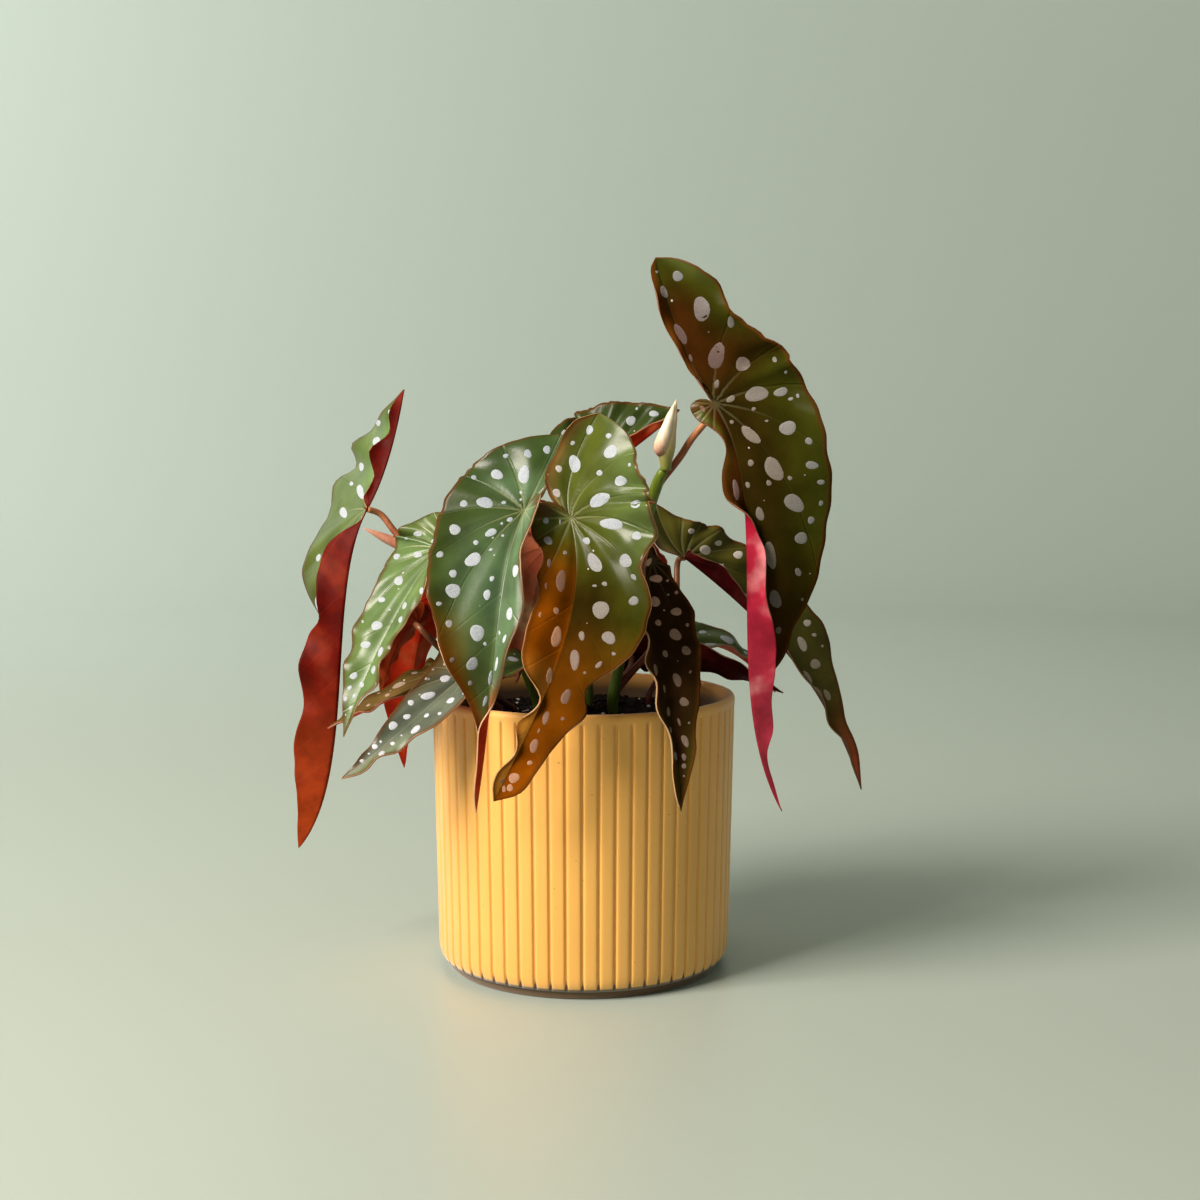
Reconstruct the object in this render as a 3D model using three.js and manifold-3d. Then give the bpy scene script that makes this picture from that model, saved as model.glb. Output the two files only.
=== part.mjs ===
// A polka dot begonia in a fluted ceramic pot, in millimetres, +Z up.
// The origin is the middle of the pot's foot, on the surface that it stands on, and -Y is the front.

import * as THREE from 'three';
import { mergeVertices } from 'three/addons/utils/BufferGeometryUtils.js';
import Module from 'manifold-3d';

const wasm = await Module();
wasm.setup();

// ---------- driving dimensions ----------

const POT_HEIGHT = 121.5;
const RIM_RADIUS = 67.5; // the widest place, at the rounded lip
const WAIST_RADIUS = 65.3; // where the wall meets the rounded bottom corner
const CORNER_HEIGHT = 12;
const CORNER_BULGE = 0.62; // how far out the corner's lower edge stands between foot and waist
const FOOT_RADIUS = 61; // the foot is set back under the corner
const FOOT_HEIGHT = 3.3;
const WALL = 4;
const TAPER = 2.5; // the inside narrows this much down to the floor
const FLOOR = 6;
const FLUTES = 60; // flat staves with a narrow groove between each two
const GROOVE_DEPTH = 1.1;
const GROOVE_SHARE = 0.26; // of a stave's pitch
const BAND_HEIGHT = 1.5; // the plain band above the grooves
const LIP_ROUND = 2;

const SOIL_TOP = 111;
const SOIL_BUMP = 0.8;
const SOIL_SIDES = 40;
const ROOT_DEPTH = 12; // how deep a stem stands in its hole in the soil
const GAP = 0.3; // between pieces that touch

const CANE_RADIUS = 2.5;
const STALK_RADIUS = 1.8;
const CANE_TOP = 0.9; // a cane's radius at its top, as a share of its radius at the soil
const STALK_TOP = 0.75; // the same for a stalk, at its leaf
const STALK_ENTRY = 6; // the last stretch of a stalk, which runs square to its leaf
const BLADE = 0.7; // a leaf's thickness

// ---------- small helpers ----------

const point = (p) => new THREE.Vector3(...p);
const mix = (a, b, t) => a + (b - a) * t;
const clamp01 = (x) => Math.min(Math.max(x, 0), 1);
const radians = (degrees) => (degrees * Math.PI) / 180;

/** 0 before a, 1 after b, with a soft start and end. */
const ease = (x, a, b) => THREE.MathUtils.smoothstep(x, a, b);

/** A smooth line through pairs of place and value, flat beyond its ends. */
function through(pairs, x) {
  const last = pairs.length - 1;
  if (x <= pairs[0][0]) return pairs[0][1];
  if (x >= pairs[last][0]) return pairs[last][1];
  const k = pairs.findLastIndex(([place]) => place <= x);
  const [[a, p], [b, q]] = [pairs[k], pairs[k + 1]];
  const before = pairs[Math.max(k - 1, 0)];
  const after = pairs[Math.min(k + 2, last)];
  const start = ((q - before[1]) / (b - before[0])) * (b - a);
  const end = ((after[1] - p) / (after[0] - a)) * (b - a);
  const t = (x - a) / (b - a);
  return p + t * start + t ** 2 * (3 * (q - p) - 2 * start - end) + t ** 3 * (2 * (p - q) + start + end);
}

/** A rounded hump over 0..1 with its top of 1 at rise / (rise + run). */
function hump(q, rise, run) {
  const top = rise / (rise + run);
  return (clamp01(q) / top) ** rise * ((1 - clamp01(q)) / (1 - top)) ** run;
}

/** The unit vector that looks out at an azimuth (0 is the front, +90 is +X) and a height angle. */
function facing(azimuth, lift) {
  const a = radians(azimuth);
  const b = radians(lift);
  return new THREE.Vector3(Math.sin(a) * Math.cos(b), -Math.cos(a) * Math.cos(b), Math.sin(b));
}

/** The geometry with only its places left, doubles merged and flat triangles dropped. */
function closed(geometry) {
  geometry.deleteAttribute('normal');
  geometry.deleteAttribute('uv');
  const merged = mergeVertices(geometry, 0.02);
  const index = Array.from(merged.index.array);
  const kept = [];
  for (let i = 0; i < index.length; i += 3) {
    const [a, b, c] = index.slice(i, i + 3);
    if (a !== b && b !== c && c !== a) kept.push(a, b, c);
  }
  merged.setIndex(kept);
  return merged;
}

function meshOf(points, triangles) {
  const geometry = new THREE.BufferGeometry();
  const places = points.flatMap((p) => p.toArray());
  geometry.setAttribute('position', new THREE.Float32BufferAttribute(places, 3));
  geometry.setIndex(triangles.flat());
  return geometry;
}

/** A closed blade made of an open surface, with the same triangles on both faces. */
function thicken(open, thickness) {
  open.computeVertexNormals();
  const place = open.attributes.position;
  const normal = open.attributes.normal;
  const index = Array.from(open.index.array);
  const count = place.count;
  const points = [];
  for (const side of [0.5, -0.5]) {
    for (let i = 0; i < count; i += 1) {
      const p = new THREE.Vector3().fromBufferAttribute(place, i);
      const n = new THREE.Vector3().fromBufferAttribute(normal, i);
      points.push(p.addScaledVector(n, side * thickness));
    }
  }
  const triangles = [];
  const edges = new Map();
  for (let i = 0; i < index.length; i += 3) {
    const [a, b, c] = index.slice(i, i + 3);
    triangles.push([a, b, c], [a + count, c + count, b + count]);
    for (const [p, q] of [[a, b], [b, c], [c, a]]) edges.set(`${p},${q}`, [p, q]);
  }
  for (const [p, q] of edges.values()) {
    if (edges.has(`${q},${p}`)) continue;
    triangles.push([p, p + count, q + count], [p, q + count, q]);
  }
  return meshOf(points, triangles);
}

/** A closed solid through rings of points that all have the same count, capped by two points. */
function ringSolid(bottom, rings, top) {
  const sides = rings[0].length;
  const points = [bottom, ...rings.flat(), top];
  const at = (ring, i) => 1 + ring * sides + (i % sides);
  const triangles = [];
  for (let i = 0; i < sides; i += 1) {
    triangles.push([0, at(0, i + 1), at(0, i)]);
    triangles.push([points.length - 1, at(rings.length - 1, i), at(rings.length - 1, i + 1)]);
    for (let ring = 0; ring + 1 < rings.length; ring += 1) {
      triangles.push([at(ring, i), at(ring, i + 1), at(ring + 1, i + 1)]);
      triangles.push([at(ring, i), at(ring + 1, i + 1), at(ring + 1, i)]);
    }
  }
  return meshOf(points, triangles);
}

/** A round tube through a list of points, whose radius goes from one value to another. */
function tube(route, radius, endRadius = radius, sides = 6, steps = 8) {
  const curve = new THREE.CatmullRomCurve3(route.map(point), false, 'centripetal');
  const frames = curve.computeFrenetFrames(steps, false);
  const rings = [];
  for (let k = 0; k <= steps; k += 1) {
    const centre = curve.getPointAt(k / steps);
    const size = mix(radius, endRadius, k / steps);
    rings.push(Array.from({ length: sides }, (_, i) => {
      const turn = (i / sides) * 2 * Math.PI;
      return centre.clone()
        .addScaledVector(frames.normals[k], size * Math.cos(turn))
        .addScaledVector(frames.binormals[k], size * Math.sin(turn));
    }));
  }
  return ringSolid(curve.getPointAt(0), rings, curve.getPointAt(1));
}

function toSolid(geometry) {
  const mesh = new wasm.Mesh({
    numProp: 3,
    vertProperties: new Float32Array(geometry.attributes.position.array),
    triVerts: new Uint32Array(geometry.index.array),
  });
  return new wasm.Manifold(mesh);
}

function toGeometry(solid) {
  const mesh = solid.getMesh();
  const geometry = new THREE.BufferGeometry();
  geometry.setAttribute('position', new THREE.BufferAttribute(new Float32Array(mesh.vertProperties), 3));
  geometry.setIndex(Array.from(mesh.triVerts));
  return geometry;
}

const plant = new THREE.Group();

function add(name, geometry, material) {
  const mesh = new THREE.Mesh(geometry, material);
  mesh.name = name;
  plant.add(mesh);
}

// ---------- the pot ----------

/** One ring of the pot; a grooved ring dips inwards between each two staves. */
function potRing(radius, z, groove = 0) {
  const ring = [];
  for (let flute = 0; flute < FLUTES; flute += 1) {
    for (const [share, dip] of [[-GROOVE_SHARE / 2, 0], [0, groove], [GROOVE_SHARE / 2, 0]]) {
      const turn = -Math.PI / 2 + ((flute + share) / FLUTES) * 2 * Math.PI;
      const r = radius - dip;
      ring.push(new THREE.Vector3(r * Math.cos(turn), r * Math.sin(turn), z));
    }
  }
  return ring;
}

function makePot() {
  const bandBottom = POT_HEIGHT - LIP_ROUND - BAND_HEIGHT;
  const innerRadius = RIM_RADIUS - WALL;
  const rings = [
    potRing(FOOT_RADIUS, 0),
    potRing(FOOT_RADIUS, FOOT_HEIGHT),
    potRing(mix(FOOT_RADIUS, WAIST_RADIUS, CORNER_BULGE), FOOT_HEIGHT + 1.4, GROOVE_DEPTH),
    potRing(WAIST_RADIUS, CORNER_HEIGHT, GROOVE_DEPTH),
    potRing(RIM_RADIUS - 0.1, bandBottom, GROOVE_DEPTH),
    potRing(RIM_RADIUS, bandBottom + 0.8),
    potRing(RIM_RADIUS, POT_HEIGHT - LIP_ROUND),
    potRing(RIM_RADIUS - WALL / 2, POT_HEIGHT),
    potRing(innerRadius, POT_HEIGHT - LIP_ROUND),
    potRing(innerRadius - TAPER, FLOOR),
  ];
  return ringSolid(point([0, 0, 0]), rings, point([0, 0, FLOOR]));
}

add('pot', makePot(), new THREE.MeshStandardMaterial({ color: '#d9a648', roughness: 0.45 }));

// ---------- the leaves ----------
//
// A leaf is an angel wing: its midrib runs from the stalk to the tip, and the vein of its big lobe
// runs back from the stalk. Both halves rise from this spine, so the blade is folded like a V.
//   stalk, near, far, tip  the midrib, as the four points of a Bezier curve
//   lobe                   the end of the big lobe
//   side                   1 with the wide half on the left for someone who sees the upper face
//                          with the tip down, -1 with it on the right
//   faces, tipFaces        azimuth and height angle that the upper face looks to
//   wide, narrow, inner    the widths of the wide half, the narrow half and the lobe's inner edge
//   ..Shape                how fast a half widens and narrows again
//   fold, foldNarrow       how far each half is raised, in degrees, at the stalk and at the tip
//   turn                   the stretch of the midrib over which the fold changes
//   pinch                  how much of the wide half's width goes at its last third, and where
//   ear                    how far the small lobe beside the stalk bulges out
//   wave, waves, phase     the height, number and start of the waves along the edge

const LEAF_DEFAULTS = {
  wideShape: [0.45, 0.95], narrowShape: [0.35, 0.95], fold: [8, 14], foldNarrow: [30, 45],
  innerFold: 10, turn: [0.1, 0.9], pinch: [0, 0.65], ear: 2, wave: 2.4, waves: 4, phase: 0.5,
};

const LEAVES = [
  {
    name: 'leaf_front_center', side: -1, stalk: [-5, -46, 201], near: [5, -62, 167], far: [-14, -81, 132],
    tip: [-35, -92, 91], lobe: [7, -43, 245], faces: [-22, 20], tipFaces: [-6, 2], fold: [16, 0],
    wave: 2.8, waves: 4.6, phase: 0.4, stations: 26,
  },
  {
    name: 'leaf_front_left', side: 1, stalk: [-24, -43, 204], near: [-36, -62, 180],
    far: [-34.6, -78, 133], tip: [-43.2, -77, 83], lobe: [-9, -26, 236], faces: [-18, 12],
    tipFaces: [20, 8], inner: 7, fold: [4, 14], wave: 1.8, waves: 3.2, phase: 2.2, stations: 24,
  },
  {
    name: 'leaf_upper_right', side: -1, stalk: [56, -26, 249], near: [83, -41, 209], far: [55, -53, 129],
    tip: [85, -41, 76], lobe: [31, -22, 311], faces: [-30, 2], tipFaces: [66, 8], ear: 1.5, fold: [0, 0],
    innerFold: 30, wave: 2.6, waves: 5, phase: 1.1, stations: 26,
  },
  {
    name: 'leaf_far_left', side: 1, stalk: [-96, 2, 203], near: [-114, -13, 169], far: [-100, -6, 84],
    tip: [-129, 1, 50], lobe: [-80, 9, 256], faces: [-66, 2], tipFaces: [-50, 4], fold: [6, 10],
    foldNarrow: [132, 138], innerFold: 138, turn: [0, 0.4], wave: 2.8, waves: 4.5, phase: 2.6,
    stations: 24,
  },
  {
    name: 'leaf_left_mid', side: 1, stalk: [-62, -24, 187], near: [-74, -33, 169], far: [-90, -48, 141],
    tip: [-100, -52, 110], lobe: [-65, -13, 202], faces: [-32, 34], tipFaces: [-34, 30], inner: 6,
    fold: [5, 12], wave: 2.2, waves: 4.2, phase: 1.4, stations: 20,
  },
  {
    name: 'leaf_left_back', side: 1, stalk: [-46, -6, 192], near: [-52, -9, 182], far: [-53, -8, 164],
    tip: [-50, -10, 148], lobe: [-54, 4, 214], faces: [-20, 25], wide: 16, narrow: 10, inner: 6,
    stations: 12,
  },
  {
    name: 'leaf_left_spotted', side: 1, stalk: [-48, -37, 135], near: [-61, -48, 127],
    far: [-79, -60, 109], tip: [-99, -66, 95], lobe: [-46, -29, 146], faces: [-15, 40],
    tipFaces: [-22, 44], inner: 6, fold: [18, 14], foldNarrow: [28, 19], wave: 1.6, waves: 3.5,
    phase: 0.9, stations: 16,
  },
  {
    name: 'leaf_left_edge', side: 1, stalk: [-62, -14, 132], near: [-76, -18, 124], far: [-94, -24, 117],
    tip: [-110.5, -28, 109.5], lobe: [-52, -8, 138], faces: [-10, 84], wide: 15, narrow: 10, inner: 4,
    fold: [10, 10], foldNarrow: [15, 15], wave: 1.5, stations: 10,
  },
  {
    name: 'leaf_left_red', side: -1, stalk: [-62, 12, 166], near: [-76, 14, 160], far: [-80, 16, 122],
    tip: [-83, 20, 83], lobe: [-54, 14, 184], faces: [200, 5], wide: 24, narrow: 13, inner: 6,
    stations: 12,
  },
  {
    name: 'leaf_left_small_red', side: -1, stalk: [-75, 0, 152], near: [-80, -1, 150], far: [-86, 0, 138],
    tip: [-91, 0, 120], lobe: [-71, 2, 161], faces: [215, 20], wide: 13, narrow: 9, inner: 4, wave: 1.4,
    stations: 10,
  },
  {
    name: 'leaf_right_dark', side: -1, stalk: [29, -44, 183], near: [22, -63, 159], far: [40, -75, 120],
    tip: [40, -78, 84], lobe: [29, -41, 190], faces: [34, 0], tipFaces: [14, 12], inner: 3,
    fold: [10, 10], foldNarrow: [44, 43], wave: 1.8, waves: 4.4, phase: 2.9, stations: 20,
  },
  {
    name: 'leaf_right_back', side: -1, stalk: [46, 22, 180], near: [66, 28, 164], far: [113, 34, 128],
    tip: [130, 34, 70], lobe: [32, 26, 205], faces: [15, 25], tipFaces: [20, 30], inner: 8, fold: [6, 8],
    foldNarrow: [128, 48], turn: [0.3, 0.75], wave: 2.4, waves: 4.5, phase: 0.2, stations: 18,
  },
  {
    name: 'leaf_right_low', side: -1, stalk: [22, 26, 134], near: [36, 24, 142], far: [62, 14, 134],
    tip: [90, 6, 120], lobe: [10, 30, 138], faces: [185, 40], wide: 14, narrow: 9, inner: 4, fold: [8, 8],
    foldNarrow: [15, 15], wave: 1.4, stations: 10,
  },
  {
    name: 'leaf_right_rear', side: -1, stalk: [40, 40, 132], near: [54, 48, 142], far: [72, 56, 138],
    tip: [92, 62, 112], lobe: [34, 38, 142], faces: [30, 60], wide: 16, narrow: 11, inner: 5, wave: 1.6,
    stations: 10,
  },
  {
    name: 'leaf_top_back', side: -1, stalk: [7, 14, 218], near: [19, 11, 228], far: [31, 12, 236],
    tip: [43, 12, 247], lobe: [-18, 18, 229], faces: [-8, 30], tipFaces: [-10, 36], wide: 32,
    wideShape: [0.47, 0.9], narrow: 8, narrowShape: [0.32, 1.1], inner: 6, fold: [6, 6],
    foldNarrow: [120, 120], wave: 1.4, waves: 3, stations: 12,
  },
  {
    name: 'leaf_center_back', side: -1, stalk: [-14, 8, 186], near: [-22, 12, 178], far: [-24, 2, 148],
    tip: [-30, -6, 126], lobe: [-10, 14, 204], faces: [190, 0], wide: 20, narrow: 14, inner: 6,
    stations: 12,
  },
  {
    name: 'leaf_center_low', side: 1, stalk: [-16, -8, 132], near: [-22, -20, 138], far: [-34, -34, 136],
    tip: [-44, -46, 124], lobe: [-10, -2, 138], faces: [20, 62], wide: 13, narrow: 9, inner: 4, wave: 1.2,
    stations: 10,
  },
  {
    name: 'leaf_rear_right', side: 1, stalk: [8, 44, 180], near: [16, 62, 172], far: [18, 82, 132],
    tip: [14, 92, 86], lobe: [-4, 34, 200], faces: [165, 20], wide: 28, narrow: 18, inner: 9,
    pinch: [0.3, 0.65], wave: 2.6, phase: 1.9, stations: 14,
  },
  {
    name: 'leaf_rear_left', side: -1, stalk: [-30, 42, 184], near: [-42, 60, 176], far: [-50, 76, 132],
    tip: [-44, 88, 86], lobe: [-20, 34, 206], faces: [205, 18], wide: 31, narrow: 17, inner: 9,
    pinch: [0.3, 0.65], wave: 2.6, phase: 0.7, stations: 14,
  },
  {
    name: 'leaf_rear_low', side: -1, stalk: [-4, 50, 137], near: [-6, 62, 137], far: [-8, 80, 126],
    tip: [-14, 87, 96], lobe: [-2, 42, 149], faces: [185, 55], wide: 19, narrow: 13, inner: 5, wave: 1.8,
    stations: 12,
  },
].map((leaf) => ({ ...LEAF_DEFAULTS, ...leaf, tipFaces: leaf.tipFaces ?? leaf.faces }));

// Where a leaf shows plainly, its edge is given as pairs of a station and the width there.
const EDGES = {
  leaf_front_center: {
    wide: [[-1, 0], [-0.97, 10], [-0.9, 20], [-0.7, 33], [-0.5, 39], [-0.2, 42.5], [0.05, 41], [0.2, 33.8],
      [0.3, 35.7], [0.4, 33.8], [0.5, 28.5], [0.6, 15.7], [0.68, 19], [0.8, 12.1], [0.9, 10.2],
      [0.96, 7.6], [1, 0]],
    narrow: [[0, 16], [0.06, 18], [0.1, 17.5], [0.17, 14], [0.25, 16.2], [0.31, 14.8], [0.45, 17],
      [0.52, 16.5], [0.6, 13], [0.66, 3.5], [0.7, 2.5], [0.76, 5], [0.81, 3.8], [0.86, 2], [0.92, 4.5],
      [0.96, 4], [1, 0]],
    inner: [[-1, 0], [-0.97, 2.7], [-0.9, 7], [-0.7, 9.8], [-0.45, 10.8], [-0.3, 9.4], [-0.1, 4], [0, 0]],
  },
  leaf_front_left: {
    wide: [[-1, 0], [-0.97, 5.5], [-0.9, 14.4], [-0.7, 25], [-0.6, 29.2], [-0.5, 32.2], [-0.3, 32.8],
      [-0.1, 34.4], [0.05, 35.8], [0.2, 34], [0.4, 30.5], [0.5, 25], [0.6, 21.5], [0.7, 9],
      [0.8, 3.5], [0.9, 2.4], [1, 0]],
    narrow: [[0, 13], [0.1, 13], [0.2, 10.5], [0.3, 12.5], [0.4, 13], [0.5, 9.6], [0.6, 5], [0.68, 2.6],
      [0.75, 4.5], [0.85, 4.3], [0.95, 3], [1, 0]],
  },
  leaf_upper_right: {
    wide: [[-1, 0], [-0.97, 8.7], [-0.9, 17], [-0.8, 23], [-0.7, 25], [-0.5, 29.5], [-0.3, 37.5],
      [-0.1, 41], [0.05, 39], [0.12, 40.5], [0.2, 39], [0.3, 36.5], [0.4, 33], [0.5, 30], [0.6, 24],
      [0.65, 17.5], [0.7, 8.5], [0.8, 6.5], [0.85, 2.8], [0.9, 2], [1, 0]],
    narrow: [[0, 10.5], [0.03, 9.8], [0.06, 7], [0.1, 4], [0.14, 3.8], [0.2, 8], [0.25, 8.1], [0.3, 6.8],
      [0.35, 5.5], [0.4, 7.8], [0.5, 8.5], [0.6, 11.8], [0.65, 11.5], [0.7, 9.7], [0.8, 8], [0.85, 3.2],
      [0.92, 2.2], [1, 0]],
    inner: [[-1, 0], [-0.95, 3.2], [-0.8, 4.2], [-0.7, 5], [-0.55, 3.5], [-0.4, 2.7], [-0.2, 1], [0, 0]],
  },
  leaf_far_left: {
    wide: [[-1, 0], [-0.97, 3.6], [-0.9, 10], [-0.8, 20], [-0.7, 31], [-0.5, 38.5], [-0.3, 43],
      [-0.1, 44.6], [0.1, 45.4], [0.2, 44], [0.3, 35], [0.4, 16], [0.5, 10], [0.6, 7.4], [0.8, 4],
      [0.9, 3.5], [1, 0]],
    narrow: [[0, 0.5], [0.05, 1], [0.1, 7.6], [0.15, 13.5], [0.22, 15], [0.3, 13.3], [0.35, 12],
      [0.4, 17.5], [0.5, 18.8], [0.6, 16.5], [0.68, 18.6], [0.75, 16.7], [0.85, 10.4], [0.95, 4.6], [1, 0]],
    inner: [[-1, 0], [-0.93, 3], [-0.85, 4.6], [-0.7, 4.2], [-0.5, 9.2], [-0.4, 8.3], [-0.3, 4.2],
      [-0.2, 3.4], [-0.1, 4.4], [0, 0]],
  },
  leaf_left_mid: {
    wide: [[-1, 0], [-0.95, 6], [-0.85, 13], [-0.7, 19.5], [-0.5, 22.3], [-0.1, 23.9], [0.05, 22.8],
      [0.2, 19.4], [0.3, 18.2], [0.4, 18.5], [0.5, 17], [0.6, 14.7], [0.75, 11], [0.85, 6.7],
      [0.93, 2.8], [1, 0]],
    narrow: [[0, 12], [0.2, 12], [0.33, 12.5], [0.4, 9], [0.48, 11], [0.55, 5], [0.6, 5], [0.68, 8],
      [0.77, 7.5], [0.82, 4], [0.9, 1.5], [1, 0]],
  },
  leaf_left_spotted: {
    wide: [[-1, 0], [-0.9, 9], [-0.6, 14], [0, 16.4], [0.1, 14.8], [0.3, 11], [0.4, 10.6], [0.5, 9.6],
      [0.7, 5.4], [0.9, 1.7], [1, 0]],
    narrow: [[0, 15], [0.15, 17], [0.25, 18], [0.4, 15.8], [0.5, 15.8], [0.7, 10.3], [0.8, 6.9],
      [0.93, 5], [1, 0]],
  },
  leaf_right_dark: {
    wide: [[-1, 0], [-0.5, 1.5], [-0.1, 5.7], [0.05, 11], [0.1, 14], [0.2, 18.8], [0.3, 20], [0.4, 19.6],
      [0.5, 17.5], [0.6, 14.3], [0.7, 10.3], [0.8, 8], [0.86, 5.4], [0.95, 1.5], [1, 0]],
    narrow: [[0, 12], [0.3, 13], [0.4, 12], [0.5, 9.2], [0.6, 8.8], [0.65, 7.8], [0.7, 4.6], [0.8, 3.6],
      [0.9, 3.3], [0.96, 2.6], [1, 0]],
  },
  leaf_right_back: {
    wide: [[-1, 0], [-0.8, 6], [-0.5, 13.4], [-0.3, 18.4], [-0.1, 20.3], [0.1, 22.7], [0.3, 24],
      [0.5, 23.8], [0.6, 21.6], [0.7, 13.5], [0.78, 7.5], [0.9, 5], [1, 0]],
    narrow: [[0, 4], [0.1, 7.3], [0.25, 7.7], [0.3, 5.8], [0.38, 3], [0.55, 3], [0.65, 7], [0.74, 8],
      [0.8, 5], [0.88, 3], [1, 0]],
  },
};

// A narrow half that curls is given as pairs of a station and the angle that it is raised by.
const CURLS = {
  leaf_front_center: [[0, 20], [0.5, 34], [0.62, 48], [1, 45]],
  leaf_front_left: [[0, 48], [0.55, 42], [0.68, 60], [0.78, 130], [1, 150]],
  leaf_upper_right: [[0, 8], [0.1, 30], [0.18, 10], [0.25, 25], [0.33, 120], [0.42, 142], [1, 140]],
  leaf_left_mid: [[0, 34], [0.3, 30], [0.45, 16], [1, 16]],
};

const LOBE_STATIONS = 6;
const EAR_STATIONS = 3;
const ACROSS = [0, 0.5, 1]; // from the spine to the edge
const EAR_SHARE = 0.45; // how far the small lobe reaches back, as a share of its width
const SPINE_BEND = 0.4; // how much the ribs follow the midrib's bend, against the leaf's chord
const VEIN_BEND = 0.4; // how far the big lobe's vein runs straight back, as a share of its reach
const NARROW_START = 0.12; // where the narrow half would begin, as a share of the midrib's length
const PINCH_EASE = 0.09; // half the stretch of the midrib over which the pinch begins
const LOBE_WAVES = 1.5; // how much closer the waves stand round the big lobe

/** The curves of one leaf: where its spine runs, and where a point of either half lies. */
function leafShape(leaf) {
  const stalk = point(leaf.stalk);
  const midrib = new THREE.CubicBezierCurve3(stalk, point(leaf.near), point(leaf.far), point(leaf.tip));
  const start = midrib.getTangent(0);
  const reach = point(leaf.lobe).distanceTo(stalk);
  const back = stalk.clone().addScaledVector(start, -VEIN_BEND * reach);
  const lobeVein = new THREE.QuadraticBezierCurve3(stalk, back, point(leaf.lobe));
  const chord = point(leaf.tip).sub(point(leaf.lobe)).normalize();
  const lobeShare = reach / midrib.getLength();
  const edges = EDGES[leaf.name] ?? {};
  const curl = CURLS[leaf.name];

  /** u runs from -1 at the lobe's end through 0 at the stalk to 1 at the tip. */
  function frame(u) {
    const centre = u >= 0 ? midrib.getPoint(u) : lobeVein.getPoint(-u);
    const along = u >= 0 ? midrib.getTangent(u) : lobeVein.getTangent(-u).negate();
    const rib = along.multiplyScalar(SPINE_BEND).addScaledVector(chord, 1 - SPINE_BEND).normalize();
    const k = ease(u, 0, 1);
    const look = facing(mix(leaf.faces[0], leaf.tipFaces[0], k), mix(leaf.faces[1], leaf.tipFaces[1], k));
    const up = look.addScaledVector(rib, -look.dot(rib)).normalize();
    const out = rib.clone().cross(up).multiplyScalar(leaf.side);
    return { centre, rib, up, out };
  }

  /** The wave of the edge, as a height square to the blade. */
  function waveHeight(half, u, r) {
    const x = u > 0 ? u : u * lobeShare * LOBE_WAVES;
    const turn = 2 * Math.PI * leaf.waves * (x + 0.06 * Math.sin(7 * x + leaf.phase));
    const strength = (u > 0 ? 1 - u / 2 : 1) * clamp01((1 - u) * 6);
    const shift = { wide: 0, narrow: 1.7, inner: 3 }[half];
    const start = {
      wide: clamp01((u + 1) * 4),
      narrow: clamp01(u * 5),
      inner: clamp01(-u * 3) * clamp01((u + 1) * 5),
    }[half];
    const beat = 1 + 0.35 * Math.sin(0.37 * turn + 1.3 * leaf.phase);
    return leaf.wave * strength * start * beat * r * r * Math.sin(turn + leaf.phase + shift);
  }

  /** A point of a half, r of the way from the spine to the edge. */
  function at(half, u, r) {
    const { centre, rib, up, out } = frame(half === 'ear' ? 0 : u);
    const k = ease(u, ...leaf.turn);
    const along = (v) => (v + NARROW_START) / (1 + NARROW_START);
    const narrowWidth = (v) => (edges.narrow
      ? through(edges.narrow, v)
      : leaf.narrow * hump(along(v), ...leaf.narrowShape));
    let width = 0;
    let lift = 0;
    let backwards = 0;
    if (half === 'wide') {
      const x = u >= 0 ? u : u * lobeShare;
      const pinch = leaf.pinch[0] * ease(u, leaf.pinch[1] - PINCH_EASE, leaf.pinch[1] + PINCH_EASE);
      const whole = leaf.wide * hump((x + lobeShare) / (1 + lobeShare), ...leaf.wideShape);
      width = edges.wide ? through(edges.wide, u) : whole * (1 - pinch);
      lift = mix(...leaf.fold, k);
    } else if (half === 'narrow') {
      width = narrowWidth(u);
      lift = curl ? through(curl, u) : mix(...leaf.foldNarrow, k);
    } else if (half === 'inner') {
      width = edges.inner ? through(edges.inner, u) : leaf.inner * hump(1 + u, 0.5, 1.1);
      lift = leaf.innerFold;
    } else {
      const fall = (1 + Math.cos(Math.PI * u)) / 2;
      width = narrowWidth(0) * fall + leaf.ear * Math.sin(Math.PI * u);
      backwards = -EAR_SHARE * narrowWidth(0) * Math.sin(Math.PI * u);
      lift = curl ? curl[0][1] : leaf.foldNarrow[0];
    }
    const sign = half === 'wide' ? 1 : -1;
    const height = half === 'ear' ? 0 : waveHeight(half, u, r);
    const cos = Math.cos(radians(lift));
    const sin = Math.sin(radians(lift));
    return centre
      .addScaledVector(out, sign * (width * r * cos - height * sin))
      .addScaledVector(up, width * r * sin + height * cos)
      .addScaledVector(rib, backwards * r);
  }
  return { at, frame };
}

/** Evenly spaced values from a to b, both included. */
const steps = (a, b, count) => Array.from({ length: count + 1 }, (_, i) => mix(a, b, i / count));

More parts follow.
